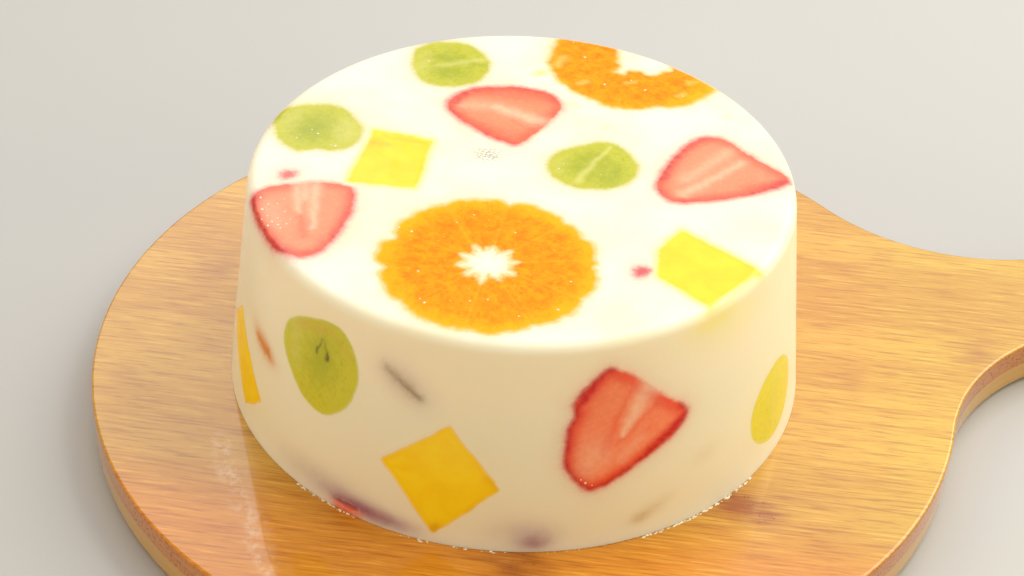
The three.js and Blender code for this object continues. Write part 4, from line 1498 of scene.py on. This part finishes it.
def strawberry_material():
    g = Graph("strawberry_flesh")
    _, across, fibre = g.split(g.attribute("axis", "Vector"))
    rim = g.attribute("rim")
    wall = g.attribute("wall")
    flat = g.attribute("flat", "Vector")
    veins = g.patches(g.combine(fibre, g.times(across, 0.12)), 0.7, 4.0, 0.6, 0.46, 0.7)
    flesh = g.mix(g.span(rim, 0.8, 5.5), colour(245, 88, 50), colour(249, 134, 90))
    flesh = g.layers(flesh, [
        (g.times(veins, g.span(rim, 0.8, 3.2)), 0.13, 252, 176, 134),
        ("deep", 0.75, 240, 84, 44),
        ("pale", 0.8, 250, 200, 164),
        (g.patches(flat, 0.6, 5.0, 0.7, 0.42, 0.7), 0.25, 246, 104, 66),
        (g.patches(flat, 0.6, 5.0, 0.7, 0.48, 0.3), 0.2, 253, 184, 126),
    ])
    least = g.plus(g.times(wall, 0.4), 0.45)
    teeth = g.span(g.noise(g.attribute("around", "Vector"), 0.5, 3.0, 0.55), 0.3, 0.66, least, 1.2)
    red = g.math("MULTIPLY", g.attribute("skin"), teeth, clamp=True)
    flesh = g.mix(red, flesh, g.mix(wall, colour(202, 32, 26), colour(204, 26, 20)))
    flesh = g.layers(flesh, [
        (g.times(g.span(rim, 0.9, 0.2), g.times(red, wall)), 0.4, 160, 22, 26),
        ("achenes", 0.85, 150, 12, 14),
    ])
    flesh = g.mix(g.span(wall, 1.0, 0.0, 0.0, 0.05), flesh, MILK)
    return fruit_finish(g, clouded(g, flesh), g.bump(g.noise(flat, 1.1, 3.0), 0.2, 0.0003))


def mango_material():
    g = Graph("mango_flesh")
    flat = g.attribute("flat", "Vector")
    fibre = g.noise(g.turned(flat, 0.6, (0.12, 0.9, 1.0)), 1.0, 4.0, 0.6)
    cloud = g.patches(flat, 0.12, 2.0, 0.5, 0.35, 0.65)
    flesh = g.layers(g.mix(cloud, colour(255, 218, 28), colour(253, 209, 18)), [
        (g.span(fibre, 0.5, 0.75), 0.25, 254, 224, 62),
        (g.span(g.attribute("rim"), 2.4, 0.4), 0.2, 248, 190, 10),
        # deep strokes darken the flesh; on mango_wall_front some are painted shade along its right side
        ("deep", 0.6, 206, 132, 14),
    ])
    return fruit_finish(g, clouded(g, flesh), g.bump(fibre, 0.1, 0.0003))


def mandarin_material():
    g = Graph("mandarin_flesh")
    flat = g.attribute("flat", "Vector")
    outer = g.plus(g.attribute("share"), g.times(g.noise(flat, 0.2, 3.0), 0.3))
    flesh = g.layers(g.mix(g.attribute("tone"), colour(246, 132, 2), colour(250, 152, 8)), [
        (g.patches(flat, 0.28, 4.0, 0.65, 0.42, 0.66), 0.75, 251, 166, 8),
        (g.patches(flat, 0.4, 4.0, 0.65, 0.5, 0.68, (40, 0, 0)), 0.55, 244, 118, 2),
        (g.span(outer, 0.8, 1.15), 0.8, 252, 184, 16),
        (g.span(g.attribute("cell"), 0.3, 0.0), 0.16, 252, 180, 24),
        ("membrane", 0.2, 251, 188, 46),
        (g.patches(flat, 1.3, 5.0, 0.75, 0.56, 0.72), 0.55, 253, 190, 36),
        # pale flecks: painted glints on the juice cells
        (g.patches(flat, 0.95, 4.0, 0.7, 0.6, 0.72, (0, 60, 0)), 0.6, 254, 212, 96),
        (g.patches(flat, 1.5, 4.0, 0.7, 0.54, 0.7, (0, 0, 9)), 0.45, 236, 122, 4),
        ("pale", 0.8, 254, 212, 116),
    ])
    relief = g.bump(g.noise(flat, 2.4, 3.0), 0.35, 0.0003)
    return fruit_finish(g, clouded(g, flesh), relief, rough=0.6, gloss=0.14, coat=0.0)


STRIP_WIDTH = 0.0155


def bamboo_face(g, turned, u, v):
    """Strips of bamboo, and the heights of their fibres."""
    strip = g.math("DIVIDE", v, STRIP_WIDTH)
    row = g.math("FLOOR", strip)
    chance, other = (g.node("TexWhiteNoise", {"W": w}, noise_dimensions="1D").outputs["Value"]
                     for w in (row, g.plus(row, 31.7)))
    across = g.plus(v, g.times(row, 0.37))

    def fibre(along, side, detail, roughness):
        where = g.combine(g.times(u, along), g.times(across, side))
        return g.noise(where, 1.0, detail, roughness)

    broad = fibre(9.0, 240.0, 3.0, 0.55)
    dashes = fibre(62.0, 1000.0, 4.0, 0.6)
    hairs = fibre(110.0, 2600.0, 2.0, 0.6)
    wood = g.layers(g.mix(chance, colour(212, 160, 50), colour(198, 140, 36)), [
        (g.span(other, 0.6, 0.95), 0.7, 217, 167, 58),
        (g.span(broad, 0.48, 0.7), 0.4, 188, 124, 28),
        (g.span(broad, 0.45, 0.28), 0.3, 225, 174, 66),
        (g.span(dashes, 0.5, 0.66), 0.66, 172, 106, 24),
        (g.span(dashes, 0.46, 0.3), 0.55, 236, 190, 84),
        (g.span(hairs, 0.54, 0.7), 0.4, 158, 92, 22),
    ])
    # Painted light and shade: strips towards the front are darkened and then made more orange, and the right
    # part made yellower
    wood = g.mix(g.span(v, -0.02, -0.05), wood, (0.92, 0.9, 0.88, 1.0), "MULTIPLY")
    wood = g.mix(g.span(v, -0.055, -0.085), wood, (1.24, 0.99, 0.92, 1.0), "MULTIPLY")
    wood = g.mix(g.span(u, 0.085, 0.115), wood, (1.0, 1.1, 0.97, 1.0), "MULTIPLY")
    knot = g.attribute("knot")
    specks = g.times(g.patches(turned, 900.0, 2.0, 0.5, 0.62, 0.7), g.span(knot, 0.5, 0.9))
    # pale specks of dried whey, which also stand for painted glints on it
    film = g.times(g.attribute("film"), g.patches(turned, 420.0, 4.0, 0.7, 0.42, 0.66))
    seam = g.math("ABSOLUTE", g.math("SUBTRACT", g.math("FRACT", strip), 0.5))
    wood = g.layers(wood, [
        (g.times(knot, g.span(dashes, 0.34, 0.6, 0.5, 1.0)), 0.9, 152, 78, 22),
        (specks, 0.5, 96, 48, 20),
        (film, 0.6, 236, 206, 176),
        (g.span(seam, 0.48, 0.5), 0.3, 176, 116, 52),
    ])
    return wood, g.plus(g.times(dashes, 0.6), g.times(hairs, 0.4))


def bamboo_edge(g, place, normal, u, v, z):
    """The board's side: two layers, with open pores where the strips are cut across."""
    grain = (math.cos(GRAIN_TURN), math.sin(GRAIN_TURN), 0.0)
    facing = g.node("VectorMath", {0: normal, 1: grain}, operation="DOT_PRODUCT").outputs["Value"]
    uneven = g.times(g.math("SUBTRACT", g.noise(place, 60.0), 0.5), 0.0012)
    upper = g.span(g.plus(z, uneven), 0.0078, 0.0088)
    ends = g.times(upper, g.span(g.math("ABSOLUTE", facing), 0.3, 0.75))
    pores = g.times(g.span(g.cells(place, 1000.0), 0.46, 0.12), ends)
    streaks = g.noise(g.combine(g.times(u, 14.0), g.times(v, 14.0), g.times(z, 1100.0)), 1.0, 4.0, 0.6)
    return g.layers(g.mix(upper, colour(196, 150, 74), colour(200, 122, 44)), [
        (g.span(streaks, 0.48, 0.7), 0.4, 214, 172, 96),
        (g.span(streaks, 0.44, 0.3), 0.35, 168, 112, 48),
        (ends, 0.5, 176, 108, 44),
        (pores, 0.8, 112, 56, 18),
    ])


def bamboo_material():
    g = Graph("bamboo")
    place = g.here()
    normal = g.node("NewGeometry").outputs["Normal"]
    turned = g.turned(place, -GRAIN_TURN)
    u, v, z = g.split(turned)
    v = g.plus(v, g.times(g.math("SUBTRACT", g.noise(turned, 7.0, 1.0), 0.5), 0.003))
    face, fibres = bamboo_face(g, turned, u, v)
    upright = g.math("ABSOLUTE", g.split(normal)[2])
    wood = g.mix(g.span(upright, 0.8, 0.45), face, bamboo_edge(g, place, normal, u, v, z))
    return g.finish(Base_Color=wood, Roughness=0.4, Normal=g.bump(fibres, 0.06, 0.0002),
                    Specular_IOR_Level=0.15, Coat_Weight=1.0, Coat_Roughness=0.04)


def whey_material():
    g = Graph("whey")
    place = g.here()
    tone = g.mix(g.noise(place, 500.0), colour(246, 234, 208), colour(240, 220, 184))
    return g.finish(Base_Color=tone, Roughness=0.22, Coat_Weight=0.4, Coat_Roughness=0.04,
                    Normal=g.bump(g.noise(place, 700.0), 0.1, 0.0003))


def floor_material():
    g = Graph("pale_floor")
    tone = g.mix(g.noise(g.here(), 3.0), colour(188, 187, 185), colour(194, 193, 190))
    return g.finish(Base_Color=tone, Roughness=0.7)


# ---- the object ----

def dress(obj, material, slot, *nodes):
    """Gives a piece its material, hangs it under the root, and hides the frame's parts that it replaces."""
    obj.data.materials.append(material)
    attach(obj, "root")
    if nodes:
        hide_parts(*nodes)


def make_object():
    flesh = {
        "grape": grape_material(),
        "strawberry": strawberry_material(),
        "mango": mango_material(),
        "mandarin": mandarin_material(),
    }
    for number, piece in enumerate(PIECES):
        if piece.kind == "mandarin" and not piece.chip:
            obj = (make_torn_slice if piece.hole is None else make_slice)(piece, SLICE_SEED + number)
        else:
            obj = make_fruit(piece)
        dress(obj, flesh[piece.kind], piece.kind, piece.name)
    dress(make_jelly(), milk_material(), "milk_jelly", "jelly")
    dress(make_board(), bamboo_material(), "bamboo", "board")
    whey = whey_material()
    for obj in (make_whey(), make_glint_bubbles()):
        dress(obj, whey, "milk_jelly")


# ---- stage, light and camera ----

def make_floor(half=4.0):
    corners = [(-half, -half, 0), (half, -half, 0), (half, half, 0), (-half, half, 0)]
    floor = new_object("floor", np.array(corners), [(0, 1, 2, 3)])
    floor.data.materials.append(floor_material())


LIT_POINT = (0, 0, 0.04)

# Each light's name, its place in the jelly's frame in metres, its size, power and colour, and
# whether it shows in reflections: the warm fills would hide the fruit's colours from behind.
LIGHTS = [
    ("key", (0.75, 0.5, 1.0), (1.1, 1.0), 14.0, (1.0, 0.985, 0.95), True),
    ("overhead", (-0.1, -0.1, 1.4), (1.2, 1.2), 6.2, (1.0, 0.98, 0.94), True),
    ("window_left", (-0.6, 1.45, 1.3), (1.1, 0.9), 7.5, (0.98, 0.985, 1.0), True),
    ("window_right", (0.55, 1.45, 1.3), (1.1, 0.9), 4.6, (0.98, 0.985, 1.0), True),
    ("fill_left", (-1.1, -0.6, 0.45), (0.9, 0.7), 7.25, (1.0, 0.81, 0.52), False),
    ("fill_right", (1.1, -0.5, 0.45), (0.9, 0.7), 7.35, (1.0, 0.87, 0.53), False),
]
SKY = (1.0, 0.97, 0.92, 1.0)
SKY_STRENGTH = 0.22


def add_light(name, at, size, power, tint, mirrored):
    light = bpy.data.lights.new(name, "AREA")
    light.shape = "RECTANGLE"
    light.size, light.size_y = size
    light.energy = power
    light.color = tint
    obj = link(name, light)
    obj.location = at
    way = Vector(LIT_POINT) - at
    obj.rotation_euler = way.to_track_quat("-Z", "Y").to_euler()
    obj.visible_glossy = mirrored


def make_light():
    turn = Matrix.Rotation(math.radians(JELLY_TURN), 3, "Z")
    for name, place, *rest in LIGHTS:
        add_light(name, turn @ Vector(place), *rest)
    world = bpy.data.worlds.new("studio")
    world.use_nodes = True
    back = world.node_tree.nodes["Background"]
    back.inputs["Color"].default_value = SKY
    back.inputs["Strength"].default_value = SKY_STRENGTH
    bpy.context.scene.world = world
    bpy.context.scene.view_settings.view_transform = "Standard"


def make_camera():
    tilt, roll = math.radians(CAMERA_TILT), math.radians(CAMERA_ROLL)
    ahead = Vector((0, math.cos(tilt), -math.sin(tilt)))
    right = Vector((1, 0, 0))
    up = right.cross(ahead)
    turned_right = math.cos(roll) * right + math.sin(roll) * up
    turned_up = -math.sin(roll) * right + math.cos(roll) * up
    basis = Matrix((turned_right, turned_up, -ahead)).transposed().to_4x4()
    at = Vector(CAMERA_AT) * MM - Vector((0, 0, GAP_BELOW * MM))
    data = bpy.data.cameras.new("camera")
    data.sensor_width = SENSOR_WIDTH
    data.lens = FOCAL_PIXELS * SENSOR_WIDTH / PICTURE_WIDTH
    data.clip_start = 0.01
    obj = link("camera", data)
    obj.matrix_world = JELLY_FRAME @ Matrix.Translation(at) @ basis
    bpy.context.scene.camera = obj


make_camera()
make_object()
make_floor()
make_light()
